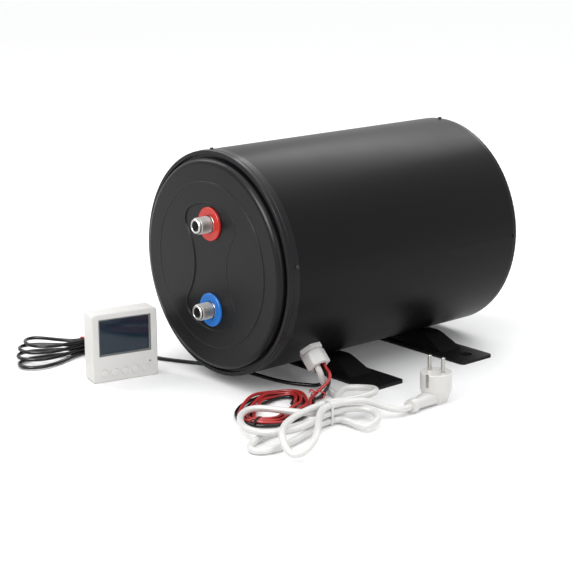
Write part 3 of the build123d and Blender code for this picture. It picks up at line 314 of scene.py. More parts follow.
class Wardrobe:
    """Every material of the object, one for each slot of the record."""

    def __init__(self) -> None:
        """Build the materials."""
        self.made = {name: finish.build(name) for name, finish in FINISHES.items()}

    def dress_nodes(self) -> None:
        """Give every CAD node the material of its slot."""
        for part in frame["record"]["subparts"]:
            node = frame["nodes"][part["node"]]
            for slot in node.material_slots:
                slot.material = self.made[part["material_slot"]]

    def dress(self, piece: bpy.types.Object, slot: str, body: str = ROOT) -> bpy.types.Object:
        """Finish a new piece and let it ride on a body.

        Args:
            piece: The new piece, in place.
            slot: Name of the material slot.
            body: Name of the body that it rides on.

        Returns:
            The same piece.
        """
        piece.data.materials.clear()
        piece.data.materials.append(self.made[slot])
        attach(piece, body)
        log.info("piece %s in %s", piece.name, slot)
        return piece


class Bench:
    """Hand tools. A mesh that they finish has its place in its own points, not in its object."""

    SMOOTH_ANGLE = 35.0
    THREAD_ANGLE = 50.0
    WIRE_ANGLE = 60.0

    @staticmethod
    def clear() -> None:
        """Leave edit mode and deselect everything."""
        if bpy.context.object and bpy.context.object.mode != "OBJECT":
            bpy.ops.object.mode_set(mode="OBJECT")
        bpy.ops.object.select_all(action="DESELECT")

    @staticmethod
    def settle(name: str, angle: float = SMOOTH_ANGLE) -> bpy.types.Object:
        """Name the active piece, put its place into its mesh and smooth it.

        Args:
            name: Name of the piece.
            angle: Edges sharper than this many degrees stay sharp.

        Returns:
            The piece.
        """
        piece = bpy.context.object
        if piece.mode != "OBJECT":
            bpy.ops.object.mode_set(mode="OBJECT")
        piece.name = name
        bpy.ops.object.transform_apply(location=True, rotation=True, scale=True)
        bpy.ops.object.shade_smooth_by_angle(angle=radians(angle))
        return piece

    @staticmethod
    def stand(piece: bpy.types.Object, place: Vector, way: Vector) -> None:
        """Put a piece's origin at a place and turn its own Z axis to a direction.

        Args:
            piece: The piece.
            place: Its new origin in metres.
            way: Its new axis.
        """
        piece.rotation_mode = "QUATERNION"
        piece.rotation_quaternion = way.to_track_quat("Z", "Y")
        piece.location = place

    @classmethod
    def dot(cls, place: Vector) -> None:
        """Start a piece as one selected vertex in edit mode.

        Args:
            place: Place of the vertex in metres.
        """
        cls.clear()
        bpy.ops.mesh.primitive_plane_add(size=MM, location=place)
        bpy.ops.object.mode_set(mode="EDIT")
        bpy.ops.mesh.merge(type="CENTER")

    @classmethod
    def turn(cls, name: str, profile: Sequence[Pair], foot: Vector, way: Vector,
             steps: int = 64) -> bpy.types.Object:
        """Turn a piece on a lathe.

        Args:
            name: Name of the piece.
            profile: (radius, height) pairs in metres, closed by the turning.
            foot: Point on the axis at height 0.
            way: Direction of the axis.
            steps: Number of facets round it.

        Returns:
            The turned piece.
        """
        side = way.orthogonal().normalized()
        places = [foot + side * radius + way * height for radius, height in profile]
        cls.dot(places[0])
        for before, after in zip(places, places[1:]):
            bpy.ops.mesh.extrude_region_move(TRANSFORM_OT_translate={"value": after - before})
        bpy.ops.mesh.select_all(action="SELECT")
        bpy.ops.mesh.spin(steps=steps, angle=2 * pi, center=foot, axis=way)
        bpy.ops.mesh.select_all(action="SELECT")
        bpy.ops.mesh.remove_doubles(threshold=WELD)
        bpy.ops.mesh.normals_make_consistent(inside=False)
        return cls.settle(name)

    @classmethod
    def ridge(cls, name: str, tooth: Sequence[Pair], foot: Vector, way: Vector,
              pitch: float, turns: int, steps: int = 48) -> bpy.types.Object:
        """Wind a tooth profile into a screw thread.

        Args:
            name: Name of the piece.
            tooth: (radius, height) corners of the tooth in metres.
            foot: Point on the axis where the thread starts.
            way: Direction of the axis.
            pitch: Rise in one turn.
            turns: Number of turns.
            steps: Facets in one turn.

        Returns:
            The thread.
        """
        cls.dot(Vector((tooth[0][0], 0.0, tooth[0][1])))
        for before, after in zip(tooth, [*tooth[1:], tooth[0]]):
            step = Vector((after[0] - before[0], 0.0, after[1] - before[1]))
            bpy.ops.mesh.extrude_region_move(TRANSFORM_OT_translate={"value": step})
        bpy.ops.mesh.select_all(action="SELECT")
        bpy.ops.mesh.remove_doubles(threshold=WELD)
        bpy.ops.object.mode_set(mode="OBJECT")
        piece = bpy.context.object
        bpy.ops.object.transform_apply(location=True, rotation=True, scale=True)
        screw = piece.modifiers.new("wind", "SCREW")
        screw.screw_offset = pitch
        screw.iterations = turns
        screw.steps = screw.render_steps = steps
        bpy.ops.object.modifier_apply(modifier=screw.name)
        bpy.ops.object.mode_set(mode="EDIT")
        bpy.ops.mesh.select_all(action="DESELECT")
        bpy.ops.mesh.select_non_manifold()
        bpy.ops.mesh.edge_face_add()
        bpy.ops.mesh.select_all(action="SELECT")
        bpy.ops.mesh.normals_make_consistent(inside=False)
        bpy.ops.object.mode_set(mode="OBJECT")
        cls.stand(piece, foot, way)
        return cls.settle(name, cls.THREAD_ANGLE)

    @classmethod
    def tube(cls, name: str, places: Sequence[Vector], radius: float) -> bpy.types.Object:
        """Make a small bent wire along a smooth line, as a mesh.

        Args:
            name: Name of the piece.
            places: Control points of the line in metres.
            radius: Radius of the wire in metres.

        Returns:
            The wire.
        """
        cls.clear()
        wire = Cord(name, places, radius * 2).lay()
        wire.select_set(True)
        bpy.context.view_layer.objects.active = wire
        bpy.ops.object.convert(target="MESH")
        return cls.settle(name, cls.WIRE_ANGLE)


@dataclass
class Cord:
    """Cable or wire that follows one smooth line through its control points, in metres."""

    name: str
    places: Sequence[Vector]
    diameter: float
    line_steps: int = 5
    round_steps: int = 3

    def lay(self) -> bpy.types.Object:
        """Make the cord.

        Returns:
            A curve of one open spline.
        """
        curve = bpy.data.curves.new(self.name, "CURVE")
        curve.dimensions = "3D"
        spline = curve.splines.new("NURBS")
        spline.points.add(len(self.places) - 1)
        for point, place in zip(spline.points, self.places):
            point.co = (*place, 1.0)
        spline.order_u = 3
        spline.use_endpoint_u = True
        curve.resolution_u = self.line_steps
        curve.bevel_depth = self.diameter / 2
        curve.bevel_resolution = self.round_steps
        curve.use_fill_caps = True
        piece = bpy.data.objects.new(self.name, curve)
        bpy.context.scene.collection.objects.link(piece)
        return piece


@dataclass
class Gland:
    """Outer face of the cable gland, where every cord leaves."""

    centre: Point = (115.612, -155.5, 34.388)
    way: Vector = field(default_factory=lambda: Vector((1.0, 0.0, -1.0)).normalized())
    above: Vector = field(default_factory=lambda: Vector((1.0, 0.0, 1.0)).normalized())

    def leave(self, aside: float, above: float, run: float, onward: Sequence[Point]) -> list[Vector]:
        """Start a route square to the gland's face.

        Args:
            aside: Offset along Y in millimetres.
            above: Offset across the face in millimetres.
            run: Length of the first straight run.
            onward: The points that follow.

        Returns:
            The route in millimetres.
        """
        start = Vector(self.centre) + Vector((0.0, aside, 0.0)) + self.above * above
        return [start, start + self.way * run, *map(Vector, onward)]


@dataclass(frozen=True)
class Fold:
    """One loop of a hank, from the strand by which it leaves the waist to the next.

    A strand is its column, -1 or 1, and its row from below. The loop leans by tilt degrees, reaches
    out by reach, is as wide as widths on its way out and back, hangs down by sag at its far end, and
    bulges first to the side that the sign of first gives.
    """

    leave: tuple[int, int]
    back: tuple[int, int]
    tilt: float
    reach: float
    widths: Pair
    sag: float
    first: int


@dataclass
class Hank:
    """Cord folded to and fro through a tied waist, with all sizes in millimetres."""

    x: float
    y: float
    low: float
    row: float
    column: float
    half: float
    folds: Sequence[Fold]
    steps: int = 14
    sag_sharpness: int = 8
    least_step: float = 1.0

    def strand(self, side: int, place: tuple[int, int]) -> Vector:
        """Find where a strand leaves the waist.

        Args:
            side: -1 for the front of the waist and 1 for its back.
            place: Column and row of the strand.

        Returns:
            The point in millimetres.
        """
        column, row = place
        return Vector((self.x + column * self.column / 2, self.y + side * self.half,
                       self.low + row * self.row))

    def _place(self, fold: Fold, side: int, share: float) -> Vector:
        """Find a point of a loop.

        Args:
            fold: The loop.
            side: -1 in front of the waist and 1 behind it.
            share: How far along the loop, from 0 to 1.

        Returns:
            The point in millimetres.
        """
        start, finish = self.strand(side, fold.leave), self.strand(side, fold.back)
        swell = sin(pi * share)
        out = fold.reach * swell
        width = fold.widths[0] if share < 0.5 else fold.widths[1]
        across = fold.first * width / 2 * sin(2 * pi * share)
        turn = radians(fold.tilt) * (1 + swell) / 2
        drop = fold.sag * swell**self.sag_sharpness
        gone = ease(share)
        return Vector((start.x + (finish.x - start.x) * gone + out * sin(turn) + across * cos(turn),
                       start.y + side * (out * cos(turn) - across * sin(turn)),
                       start.z + (finish.z - start.z) * gone - drop))

    def route(self) -> list[Vector]:
        """Follow the whole hank from one end to the other.

        Returns:
            Its points in millimetres, without those within the least step of the one before.
        """
        points: list[Vector] = []
        side = -1
        for fold in self.folds:
            if not points:
                points.append(self.strand(-side, fold.leave))
            points += [self._place(fold, side, step / self.steps) for step in range(self.steps + 1)]
            points.append(self.strand(-side, fold.back))
            side = -side
        kept = points[:1]
        for point in points[1:]:
            if (point - kept[-1]).length > self.least_step:
                kept.append(point)
        return kept


@dataclass
class Coil:
    """One of two wires that wind inwards together as an oval coil on the floor.

    The pair lies in two lanes, 0 outside and 1 inside. The wires change lanes at the swaps, and both
    lanes draw together where the coil is tied. The wire of lane 1 is lifted over the other at both.
    Sizes are in millimetres, directions in degrees, and swaps and shares in turns.
    """

    lane: int
    half_length: float = 72.0
    half_width: float = 46.0
    centre: Point = (133.0, -241.0, 3.2)
    heading: float = -60.0
    entry: float = 120.0
    pitch: float = 9.4
    track: float = 4.7
    turns: int = 3
    steps: int = 24
    swaps: Sequence[float] = (0.62, 1.1, 1.66, 2.08, 2.6)
    swap_share: float = 0.12
    bridge_share: float = 0.14
    bridge: float = 4.6
    tied: Pair = (0.0, 150.0)
    tie_reach: float = 60.0
    tie_lift: float = 3.4
    gather: float = 0.4

    def _tightness(self, angle: float) -> float:
        """Say how far the coil is drawn together.

        Args:
            angle: Direction from the middle of the coil in radians.

        Returns:
            A share from 0, away from the ties, to 1 at a tie.
        """
        best, reach = 0.0, radians(self.tie_reach)
        for place in self.tied:
            off = (angle - radians(place) + pi) % (2 * pi) - pi
            if abs(off) < reach:
                best = max(best, cos(off / reach * pi / 2)**2)
        return best

    def _follow(self, turn: float) -> Pair:
        """Follow the wire through its changes of lane.

        Args:
            turn: Number of turns wound so far.

        Returns:
            The lane, and a share that is 1 where the wires cross and 0 away from there.
        """
        swapped, crossing = 0.0, 0.0
        for number, place in enumerate(self.swaps):
            share = min(1.0, max(0.0, (turn - place) / self.swap_share + 0.5))
            swapped += (-1)**number * ease(share)
            near = min(1.0, abs(turn - place) / self.bridge_share)
            crossing = max(crossing, cos(near * pi / 2)**2)
        return self.lane + (1 - 2 * self.lane) * swapped, crossing

    def route(self) -> list[Vector]:
        """Follow the wire from the outside of the coil inwards.

        Returns:
            Its points in millimetres.
        """
        ahead = Vector((cos(radians(self.heading)), sin(radians(self.heading)), 0.0))
        aside = Vector((-ahead.y, ahead.x, 0.0))
        middle = (self.pitch * self.turns + self.track) / 2
        points = []
        for index in range(self.turns * self.steps + 1):
            turn = index / self.steps
            angle = radians(self.entry) - 2 * pi * turn
            tight = self._tightness(angle)
            lane, crossing = self._follow(turn)
            shrink = self.pitch * turn + self.track * lane
            shrink += (middle - shrink) * self.gather * tight
            lift = self.lane * max(self.tie_lift * tight, self.bridge * crossing)
            points.append(Vector(self.centre) + ahead * ((self.half_length - shrink) * cos(angle))
                          + aside * ((self.half_width - shrink) * sin(angle)) + UP * lift)
        return points


class Lay(Enum):
    """How the free cords lie."""

    COILED = "coiled"


@dataclass
class Harness:
    """All the free cords. Places and diameters are in millimetres, lengths in metres."""

    wardrobe: Wardrobe
    gland: Gland = field(default_factory=Gland)
    plug_end: Point = (247.894, -130.489, 8.55)
    plug_way: Point = (0.1908, -0.9816, 0.0)
    plug_run: float = 14.0
    port: Point = (-109.09, -295.55, 52.0)
    port_way: Point = (0.97476, -0.22325, 0.0)
    port_run: float = 12.0
    mains_diameter: float = 8.0
    mains_length: float = 1.485
    wire_diameter: float = 4.0
    black_length: float = 0.895
    red_length: float = 0.894
    control_diameter: float = 4.8
    control_length: float = 1.95

    def _lay(self, name: str, route: Sequence[Vector], diameter: float, slot: str) -> bpy.types.Object:
        """Lay a cord along its route, which is in metres, and dress it."""
        return self.wardrobe.dress(Cord(name, route, diameter * MM).lay(), slot)

    def mains(self) -> None:
        """Lay the white mains lead with its hank, from the gland to the plug."""
        hank = Hank(x=211.0, y=-227.0, low=5.4, row=9.0, column=8.8, half=12.0, folds=[
            Fold((-1, 0), (1, 0), 9.0, 114.0, (28.0, 34.0), 1.3, -1),
            Fold((1, 0), (1, 1), 64.0, 48.0, (46.0, 34.0), 1.0, 1),
            Fold((1, 1), (-1, 1), -42.0, 91.0, (104.0, 58.0), 4.0, 1),
            Fold((-1, 1), (-1, 2), -28.0, 84.0, (34.0, 58.0), 4.0, -1),
            Fold((-1, 2), (1, 2), 35.0, 118.0, (26.0, 46.0), 15.0, -1),
        ]).route()
        lead = self.gland.leave(aside=-3.7, above=0.0, run=9.0, onward=[
            (122.8, -157.0, 18.5), (124.5, -153.8, 10.5), (130.5, -152.4, 5.6), (142.5, -154.6, 4.3),
            (154.0, -160.0, 4.2), (167.0, -167.5, 4.2), (181.0, -177.0, 4.2), (193.5, -187.5, 4.5),
            (203.0, -198.0, 5.1), (hank[0].x, -207.5, hank[0].z),
        ])
        end, way = Vector(self.plug_end), Vector(self.plug_way)
        tail = [*map(Vector, [
            (hank[-1].x, -206.0, hank[-1].z), (222.0, -195.0, 23.8), (225.5, -184.5, 22.8),
            (229.5, -174.5, 19.5), (235.0, -165.5, 15.0), (243.0, -157.0, 11.0),
        ]), end + way * self.plug_run, end]
        route = [at(point) for point in lead + hank + tail]
        cord = self._lay("mains_cord", route, self.mains_diameter, "white_sheath")
        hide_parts("mains_lead", "mains_hank", "mains_tail")

    def low_voltage(self) -> None:
        """Lay the black and red wires, from the gland into the coil that they share."""
        black, red = Coil(0).route(), Coil(1).route()
        black_lead = self.gland.leave(aside=5.6, above=-2.2, run=7.0, onward=[
            (127.0, -150.6, 22.6), (133.0, -153.5, 16.5), (136.5, -160.0, 11.0), (138.5, -168.0, 6.6),
            (141.0, -176.0, 3.7), black[0] + Vector((-6.15, 5.12, 0.0)),
        ])
        red_lead = self.gland.leave(aside=5.6, above=2.2, run=7.0, onward=[
            (130.0, -151.0, 27.5), (135.5, -154.5, 22.0), (136.0, -161.5, 16.0), (133.5, -169.5, 10.5),
            (133.0, -177.5, 5.6), red[0] + Vector((-6.09, 5.19, 0.0)),
        ])
        wires = [
            ("dc_black_wire", black_lead + black, "black_sheath", self.black_length,
             ("dc_negative_lead", "dc_negative_coil")),
            ("dc_red_wire", red_lead + red, "red_sheath", self.red_length,
             ("dc_positive_lead", "dc_positive_coil")),
        ]
        for name, points, slot, length, nodes in wires:
            route = [at(point) for point in points]
            cord = self._lay(name, route, self.wire_diameter, slot)
            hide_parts(*nodes)

    def control(self) -> None:
        """Lay the control lead with its hank, from the gland to the panel."""
        hank = Hank(x=-206.0, y=-282.0, low=3.6, row=5.5, column=5.6, half=11.0, folds=[
            Fold((1, 0), (-1, 0), 0.0, 84.0, (38.0, 38.0), 0.0, 1),
            Fold((-1, 0), (1, 1), 4.0, 76.0, (38.0, 38.0), 0.0, -1),
            Fold((1, 1), (-1, 1), -16.0, 78.0, (38.0, 38.0), 0.0, 1),
            Fold((-1, 1), (1, 2), 0.0, 72.0, (38.0, 38.0), 0.0, -1),
            Fold((1, 2), (-1, 2), -30.0, 74.0, (36.0, 36.0), 0.0, 1),
            Fold((-1, 2), (1, 3), -4.0, 70.0, (38.0, 38.0), 0.0, -1),
            Fold((1, 3), (-1, 3), -44.0, 68.0, (36.0, 36.0), 0.0, 1),
        ]).route()
        lead = self.gland.leave(aside=1.6, above=-5.4, run=7.5, onward=[
            (118.2, -151.8, 18.5), (116.8, -149.2, 12.5), (112.0, -147.6, 7.3), (104.5, -148.0, 3.8),
            (94.0, -152.4, 2.6), (80.0, -161.0, 2.5), (61.0, -168.5, 2.5), (36.0, -172.5, 2.5),
            (4.0, -175.0, 2.5), (-30.0, -181.5, 2.5), (-66.0, -196.0, 2.5), (-98.0, -214.0, 2.5),
            (-128.0, -227.0, 2.5), (-157.0, -232.5, 2.5), (-178.0, -236.5, 2.5), (-193.0, -244.5, 2.7),
            (-201.5, -255.0, 3.2), (hank[0].x, -264.0, hank[0].z),
        ])
        port, way = Vector(self.port), Vector(self.port_way)
        tail = [*map(Vector, [
            (hank[-1].x, -260.0, hank[-1].z), (-207.0, -248.5, 22.0), (-200.5, -239.0, 25.0),
            (-189.5, -233.5, 29.0), (-177.0, -234.0, 33.5), (-166.0, -240.5, 38.0), (-158.0, -251.0, 42.5),
            (-151.0, -263.0, 46.5), (-143.0, -274.5, 49.5), (-133.5, -284.5, 51.3),
        ]), port - way * self.port_run, port]
        route = [at(point) for point in lead + hank + tail]
        cord = self._lay("control_cord", route, self.control_diameter, "black_sheath")
        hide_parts("control_lead", "control_hank", "control_tail")


@dataclass
class CapNut:
    """Rounded hexagon nut that stands for the gland's cap nut, with all sizes in millimetres."""

    wardrobe: Wardrobe
    flats: float = 27.0
    length: float = 19.7
    proud: float = 2.5
    exit: float = 8.6
    exit_steps: int = 64
    corner: float = 2.2
    corner_steps: int = 4
    corner_shape: float = 0.5
    sharp_angle: float = 40.0

    def build(self, gland: Gland) -> None:
        """Shape the nut, bore its way out and put it on the gland's axis.

        Args:
            gland: The cable gland.
        """
        end = Vector(gland.centre) + gland.way * self.proud
        middle = end - gland.way * (self.length / 2)
        Bench.clear()
        bpy.ops.mesh.primitive_cylinder_add(vertices=6, radius=self.flats / 2 / cos(pi / 6) * MM,
                                            depth=self.length * MM)
        bpy.ops.object.mode_set(mode="EDIT")
        bpy.ops.mesh.select_all(action="SELECT")
        bpy.ops.mesh.bevel(offset=self.corner * MM, segments=self.corner_steps, profile=self.corner_shape)
        nut = Bench.settle("gland_nut", self.sharp_angle)
        bpy.ops.mesh.primitive_cylinder_add(vertices=self.exit_steps, radius=self.exit * MM,
                                            depth=2 * self.length * MM)
        bore = Bench.settle("gland_bore")
        cut = nut.modifiers.new("bore", "BOOLEAN")
        cut.operation, cut.object = "DIFFERENCE", bore
        bpy.context.view_layer.objects.active = nut
        bpy.ops.object.modifier_apply(modifier=cut.name)
        bpy.data.objects.remove(bore)
        Bench.clear()
        bpy.context.view_layer.objects.active = nut
        nut.select_set(True)
        Bench.stand(nut, middle * MM, gland.way)
        nut = Bench.settle("gland_nut", self.sharp_angle)
        self.wardrobe.dress(nut, "white_nylon")
        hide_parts("gland_cap_nut")


@dataclass
class WaterStub:
    """Threaded stainless stub that stands for one of the two pipe stubs, in millimetres.

    The lip is what the tip has before its thread. The root's end and the shank's start count from
    the end of the thread, and the two faces of the flange count from the stub's inner end.
    """

    wardrobe: Wardrobe
    front: float = -221.5
    reach: float = 30.5
    bore: float = 6.5
    mouth_depth: float = 0.4
    mouth_width: float = 0.5
    tip_width: float = 1.1
    tip_length: float = 1.0
    lip: float = 3.3
    pitch: float = 1.814
    turns: int = 9
    crest: float = 10.4775
    crest_trim: float = 0.1
    crest_half: float = 0.16
    flank_share: float = 0.44
    root: float = 9.4
    root_sink: float = 0.25
    root_end: float = 1.6
    shank: float = 10.0
    shank_start: float = 2.2
    flange: float = 15.0
    flange_front: float = 8.8
    flange_back: float = 4.8

    def build(self, label: str, height: float, node: str, depth: float) -> None:
        """Turn the stub, wind its thread and put both in place.

        Args:
            label: First word of the pieces' names.
            height: Height of the axis in millimetres.
            node: CAD node that the stub stands for.
            depth: Distance from the tip to the inner end in millimetres.
        """
        way = Vector((0.0, 1.0, 0.0))
        foot = at((0.0, self.front - self.reach, height))
        last = self.pitch * self.turns + self.lip
        profile = [
            (self.bore, self.mouth_depth), (self.bore + self.mouth_width, 0.0),
            (self.root - self.tip_width, 0.0), (self.root, self.tip_length),
            (self.root, last + self.root_end), (self.shank, last + self.shank_start),
            (self.shank, depth - self.flange_front), (self.flange, depth - self.flange_front),
            (self.flange, depth - self.flange_back), (self.shank, depth - self.flange_back),
            (self.shank, depth), (self.bore, depth), (self.bore, self.mouth_depth),
        ]
        stub = Bench.turn(f"{label}_stub_body", metric(profile), foot, way)
        self.wardrobe.dress(stub, "stainless")
        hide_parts(node)
        base, half = self.root - self.root_sink, self.pitch * self.flank_share
        top = self.crest - self.crest_trim
        tooth = [(base, -half), (top, -self.crest_half), (top, self.crest_half), (base, half)]
        thread = Bench.ridge(f"{label}_stub_thread", metric(tooth), foot + way * (self.lip * MM), way,
                             self.pitch * MM, self.turns)
        self.wardrobe.dress(thread, "stainless")


@dataclass
class CoverTrim:
    """Rounded lips round the waisted recess and the step of the front cover, in millimetres.

    The recess is a circle, waisted by two round notches, with round corners between them.
    """

    wardrobe: Wardrobe
    recess: float = 80.0
    recess_steps: int = 5
    recess_height: float = 147.4
    notch: float = 70.0
    notch_steps: int = 6
    waist: float = 31.5
    corner: float = 18.0
    corner_steps: int = 7
    ring: float = 102.5
    ring_steps: int = 72
    axis_height: float = 150.0
    face: float = -230.1
    radius: float = 1.2
    stand: float = 0.35

    @staticmethod
    def _arc(middle: Pair, radius: float, start: float, end: float, steps: int) -> list[Vector]:
        """Follow an arc in the cover's plane.

        Args:
            middle: Centre of the arc, with X across and Y up.
            radius: Its radius.
            start: Direction of its first point in radians.
            end: Direction of its last point.
            steps: Number of steps between the two.

        Returns:
            Its points.
        """
        turns = [start + (end - start) * index / steps for index in range(steps + 1)]
        return [Vector(middle) + Vector((cos(turn), sin(turn))) * radius for turn in turns]

    def _outline(self) -> list[Vector]:
        """Follow the edge of the recess clockwise from its top.

        Returns:
            Its points, worked out for one quarter and mirrored.
        """
        notch = self.waist + self.notch
        inner, outer = self.recess - self.corner, self.notch + self.corner
        across = (notch**2 - outer**2 + inner**2) / (2 * notch)
        up = (inner**2 - across**2)**0.5
        rise, fall = atan2(up, across), atan2(-up, notch - across)
        quarter = self._arc((0.0, 0.0), self.recess, pi / 2, rise, self.recess_steps)
        quarter += self._arc((across, up), self.corner, rise, fall, self.corner_steps)[1:]
        quarter += self._arc((notch, 0.0), self.notch, fall + pi, pi, self.notch_steps)[1:]
        right = quarter + [Vector((point.x, -point.y)) for point in reversed(quarter[:-1])]
        return right + [Vector((-point.x, point.y)) for point in reversed(right[:-1])]

    def build(self) -> None:
        """Lay both lips, mostly sunk into the cover."""
        depth = self.face + self.radius - self.stand
        ring = self._arc((0.0, 0.0), self.ring, pi / 2, -3 * pi / 2, self.ring_steps)
        lips = [("recess_lip", self._outline(), self.recess_height), ("step_lip", ring, self.axis_height)]
        for name, line, height in lips:
            places = [at((point.x, depth, height + point.y)) for point in line]
            lip = Bench.tube(name, places, self.radius * MM)
            self.wardrobe.dress(lip, "cover_plastic")


@dataclass
class TwistTie:
    """Thin coated wire wound round a bundle, with two loose ends, in millimetres.

    Each point of ends says how far it lies aside, above and along the bundle from where an end
    leaves the band.
    """

    wardrobe: Wardrobe
    thickness: float = 1.3
    turns: int = 2
    steps: int = 16
    rise_share: float = 1.15
    knot_share: float = 0.55
    ends: Sequence[Point] = ((0.0, 0.0, 0.6), (2.4, 1.8, 1.0), (4.4, 1.4, 2.6), (6.2, -0.4, 4.4))

    def _wire(self, name: str, points: Sequence[Vector], slot: str) -> None:
        """Make one length of the tie's wire through points in millimetres and dress it."""
        wire = Bench.tube(name, [at(point) for point in points], self.thickness / 2 * MM)
        self.wardrobe.dress(wire, slot)

    def build(self, name: str, centre: Point, wide: float, high: float, way: Vector, slot: str) -> None:
        """Wind the tie round a bundle and let its ends stick out.

        Args:
            name: First words of the pieces' names.
            centre: Middle of the bundle in millimetres.
            wide: Half width of the bundle.
            high: Half height of the bundle.
            way: Direction in which the strands run.
            slot: Material slot of the tie.
        """
        side = way.cross(UP).normalized()
        middle = Vector(centre)
        band = []
        for index in range(self.turns * self.steps + 1):
            turn = index / self.steps
            angle = -pi / 2 + 2 * pi * turn
            along = (turn - self.turns / 2) * self.thickness * self.rise_share
            band.append(middle + side * (wide * cos(angle)) + UP * (high * sin(angle)) + way * along)
        self._wire(f"{name}_band", band, slot)
        top = middle + side * wide * self.knot_share + UP * high
        for label, lean in (("near", -1.0), ("far", 1.0)):
            end = [top + side * aside + UP * above + way * lean * along
                   for aside, above, along in self.ends]
            self._wire(f"{name}_{label}_end", end, slot)


@dataclass(frozen=True)
class SoftBox:
    """Rectangular lamp that faces the heater.

    Its place and its width and height are in metres, and its power is in watts. One that is
    gloss_only shows in reflections alone and adds no light to pale surfaces.
    """

    name: str
    place: Point
    size: Pair
    power: float
    gloss_only: bool = False


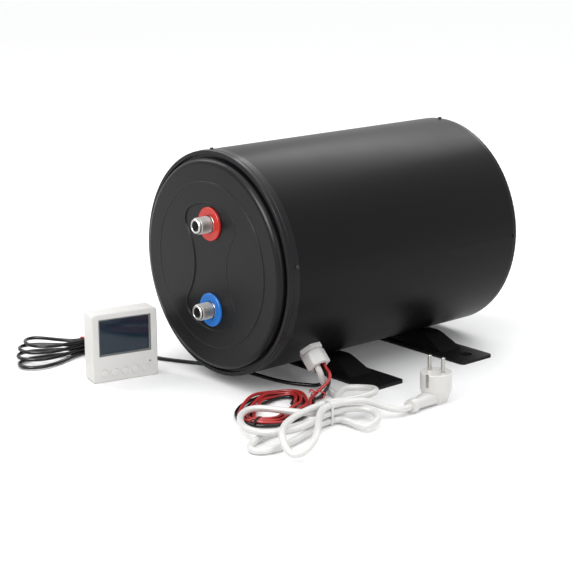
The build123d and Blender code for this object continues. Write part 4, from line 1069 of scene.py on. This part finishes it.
@dataclass
class Studio:
    """Floor, background, lamps and camera.

    The camera's place, lens and sensor and the lamps' target are in millimetres, and all other
    lengths are in metres.
    """

    target: Point = (0.0, -31.5, 150.0)
    eye: Point = (1517.95, -1395.81, 621.40)
    look: Point = (-0.7247, 0.6512, -0.2251)
    lens: float = 101.2
    sensor: float = 36.0
    shift: Pair = (-0.0775, -0.0799)
    view_end: float = 100.0
    floor_size: float = 40.0
    floor_colour: Point = (0.94, 0.94, 0.94)
    floor_glow: float = 0.06
    sky: Point = (0.97, 0.98, 1.0)
    sky_strength: float = 0.38
    ceiling_way: Point = (-0.1, 0.05, -1.0)
    ceiling_strength: float = 1.9
    ceiling_angle: float = 80.0
    boxes: Sequence[SoftBox] = (
        SoftBox("left_box", (-1.5, -0.7, 1.6), (0.35, 1.2), 14.0),
        SoftBox("key_box", (0.55, -1.75, 1.35), (1.3, 1.0), 55.0, gloss_only=True),
        SoftBox("front_fill", (0.3, -1.9, 1.2), (0.8, 0.8), 7.0),
        SoftBox("right_box", (2.3, -0.5, 0.9), (0.25, 1.2), 8.0),
        SoftBox("back_box", (-0.7, 1.5, 1.7), (1.4, 0.4), 12.0),
    )

    @staticmethod
    def seen(tree: Tree) -> Wire:
        """Mark the rays that show the background: straight, mirrored and refracted ones.

        Args:
            tree: Node tree that asks.

        Returns:
            1 for such a ray and 0 for any other.
        """
        straight, mirrored, through = (
            tree.node("ShaderNodeLightPath", {}, {}, f"Is {kind} Ray")
            for kind in ("Camera", "Glossy", "Transmission"))
        return straight + mirrored + through

    @staticmethod
    def aim(data: bpy.types.ID, place: Sequence[float], way: Vector) -> bpy.types.Object:
        """Put a lamp or the camera in its place.

        Args:
            data: Its light or camera data, whose name the object takes.
            place: Its place in metres.
            way: Direction in which it looks.

        Returns:
            The new object.
        """
        made = bpy.data.objects.new(data.name, data)
        bpy.context.scene.collection.objects.link(made)
        made.location = place
        made.rotation_mode = "QUATERNION"
        made.rotation_quaternion = way.to_track_quat("-Z", "Y")
        return made

    def floor(self) -> None:
        """Lay a white floor that keeps the object's shadow."""
        Bench.clear()
        bpy.ops.mesh.primitive_plane_add(size=self.floor_size)
        ground = Bench.settle("studio_floor")
        white = bpy.data.materials.new("studio_floor_white")
        tree = Tree(white, "ShaderNodeOutputMaterial")
        diffuse = tree.node("ShaderNodeBsdfDiffuse", {}, {"Color": (*self.floor_colour, 1.0)})
        strength = self.seen(tree) * self.floor_glow
        glow = tree.node("ShaderNodeEmission", {}, {"Color": WHITE, "Strength": strength})
        tree.finish(tree.node("ShaderNodeAddShader", {}, {0: diffuse, 1: glow}))
        ground.data.materials.append(white)

    def world(self) -> None:
        """Make the background white to the eye and a soft grey light to the object."""
        world = bpy.data.worlds.new("studio_world")
        bpy.context.scene.world = world
        tree = Tree(world, "ShaderNodeOutputWorld")
        sky = {"Color": (*self.sky, 1.0), "Strength": self.sky_strength}
        light = tree.node("ShaderNodeBackground", {}, sky)
        view = tree.node("ShaderNodeBackground", {}, {"Color": WHITE, "Strength": 1.0})
        tree.finish(tree.node("ShaderNodeMixShader", {}, {0: self.seen(tree), 1: light, 2: view}))

    def ceiling(self) -> None:
        """Add an even light from far above."""
        light = bpy.data.lights.new("ceiling", "SUN")
        light.energy, light.angle = self.ceiling_strength, radians(self.ceiling_angle)
        self.aim(light, (0.0, 0.0, 0.0), Vector(self.ceiling_way))

    def lamp(self, box: SoftBox) -> None:
        """Hang a soft box.

        Args:
            box: The soft box.
        """
        light = bpy.data.lights.new(box.name, "AREA")
        light.shape = "RECTANGLE"
        light.size, light.size_y = box.size
        light.energy = box.power
        lamp = self.aim(light, box.place, at(self.target) - Vector(box.place))
        lamp.visible_diffuse = not box.gloss_only

    def camera(self) -> None:
        """Set up the camera at the photograph's angle."""
        data = bpy.data.cameras.new("studio_camera")
        data.lens, data.sensor_width = self.lens, self.sensor
        data.shift_x, data.shift_y = self.shift
        data.clip_end = self.view_end
        bpy.context.scene.camera = self.aim(data, at(self.eye), Vector(self.look))

    def build(self) -> None:
        """Set up the whole studio."""
        self.floor()
        self.world()
        self.ceiling()
        for box in self.boxes:
            self.lamp(box)
        self.camera()
        bpy.context.scene.view_settings.view_transform = "Standard"


def main() -> None:
    """Build every piece in order."""
    logging.basicConfig(level=logging.INFO, format="%(message)s")
    wardrobe = Wardrobe()
    wardrobe.dress_nodes()
    harness = Harness(wardrobe)
    harness.mains()
    harness.low_voltage()
    harness.control()
    stub = WaterStub(wardrobe)
    stub.build("hot", height=201.3, node="hot_outlet_stub", depth=73.0)
    stub.build("cold", height=93.5, node="cold_inlet_stub", depth=74.6)
    CapNut(wardrobe).build(harness.gland)
    CoverTrim(wardrobe).build()
    tie = TwistTie(wardrobe)
    tie.build("near_tie", centre=(160.8, -289.1, 5.0), wide=12.4, high=4.2,
              way=Vector((0.866, 0.5, 0.0)), slot="black_sheath")
    tie.build("coil_tie", centre=(136.0, -174.5, 5.3), wide=8.6, high=4.4,
              way=Vector((0.7, -0.7, 0.0)).normalized(), slot="red_plastic")
    Studio().build()


if __name__ == "__main__":
    main()
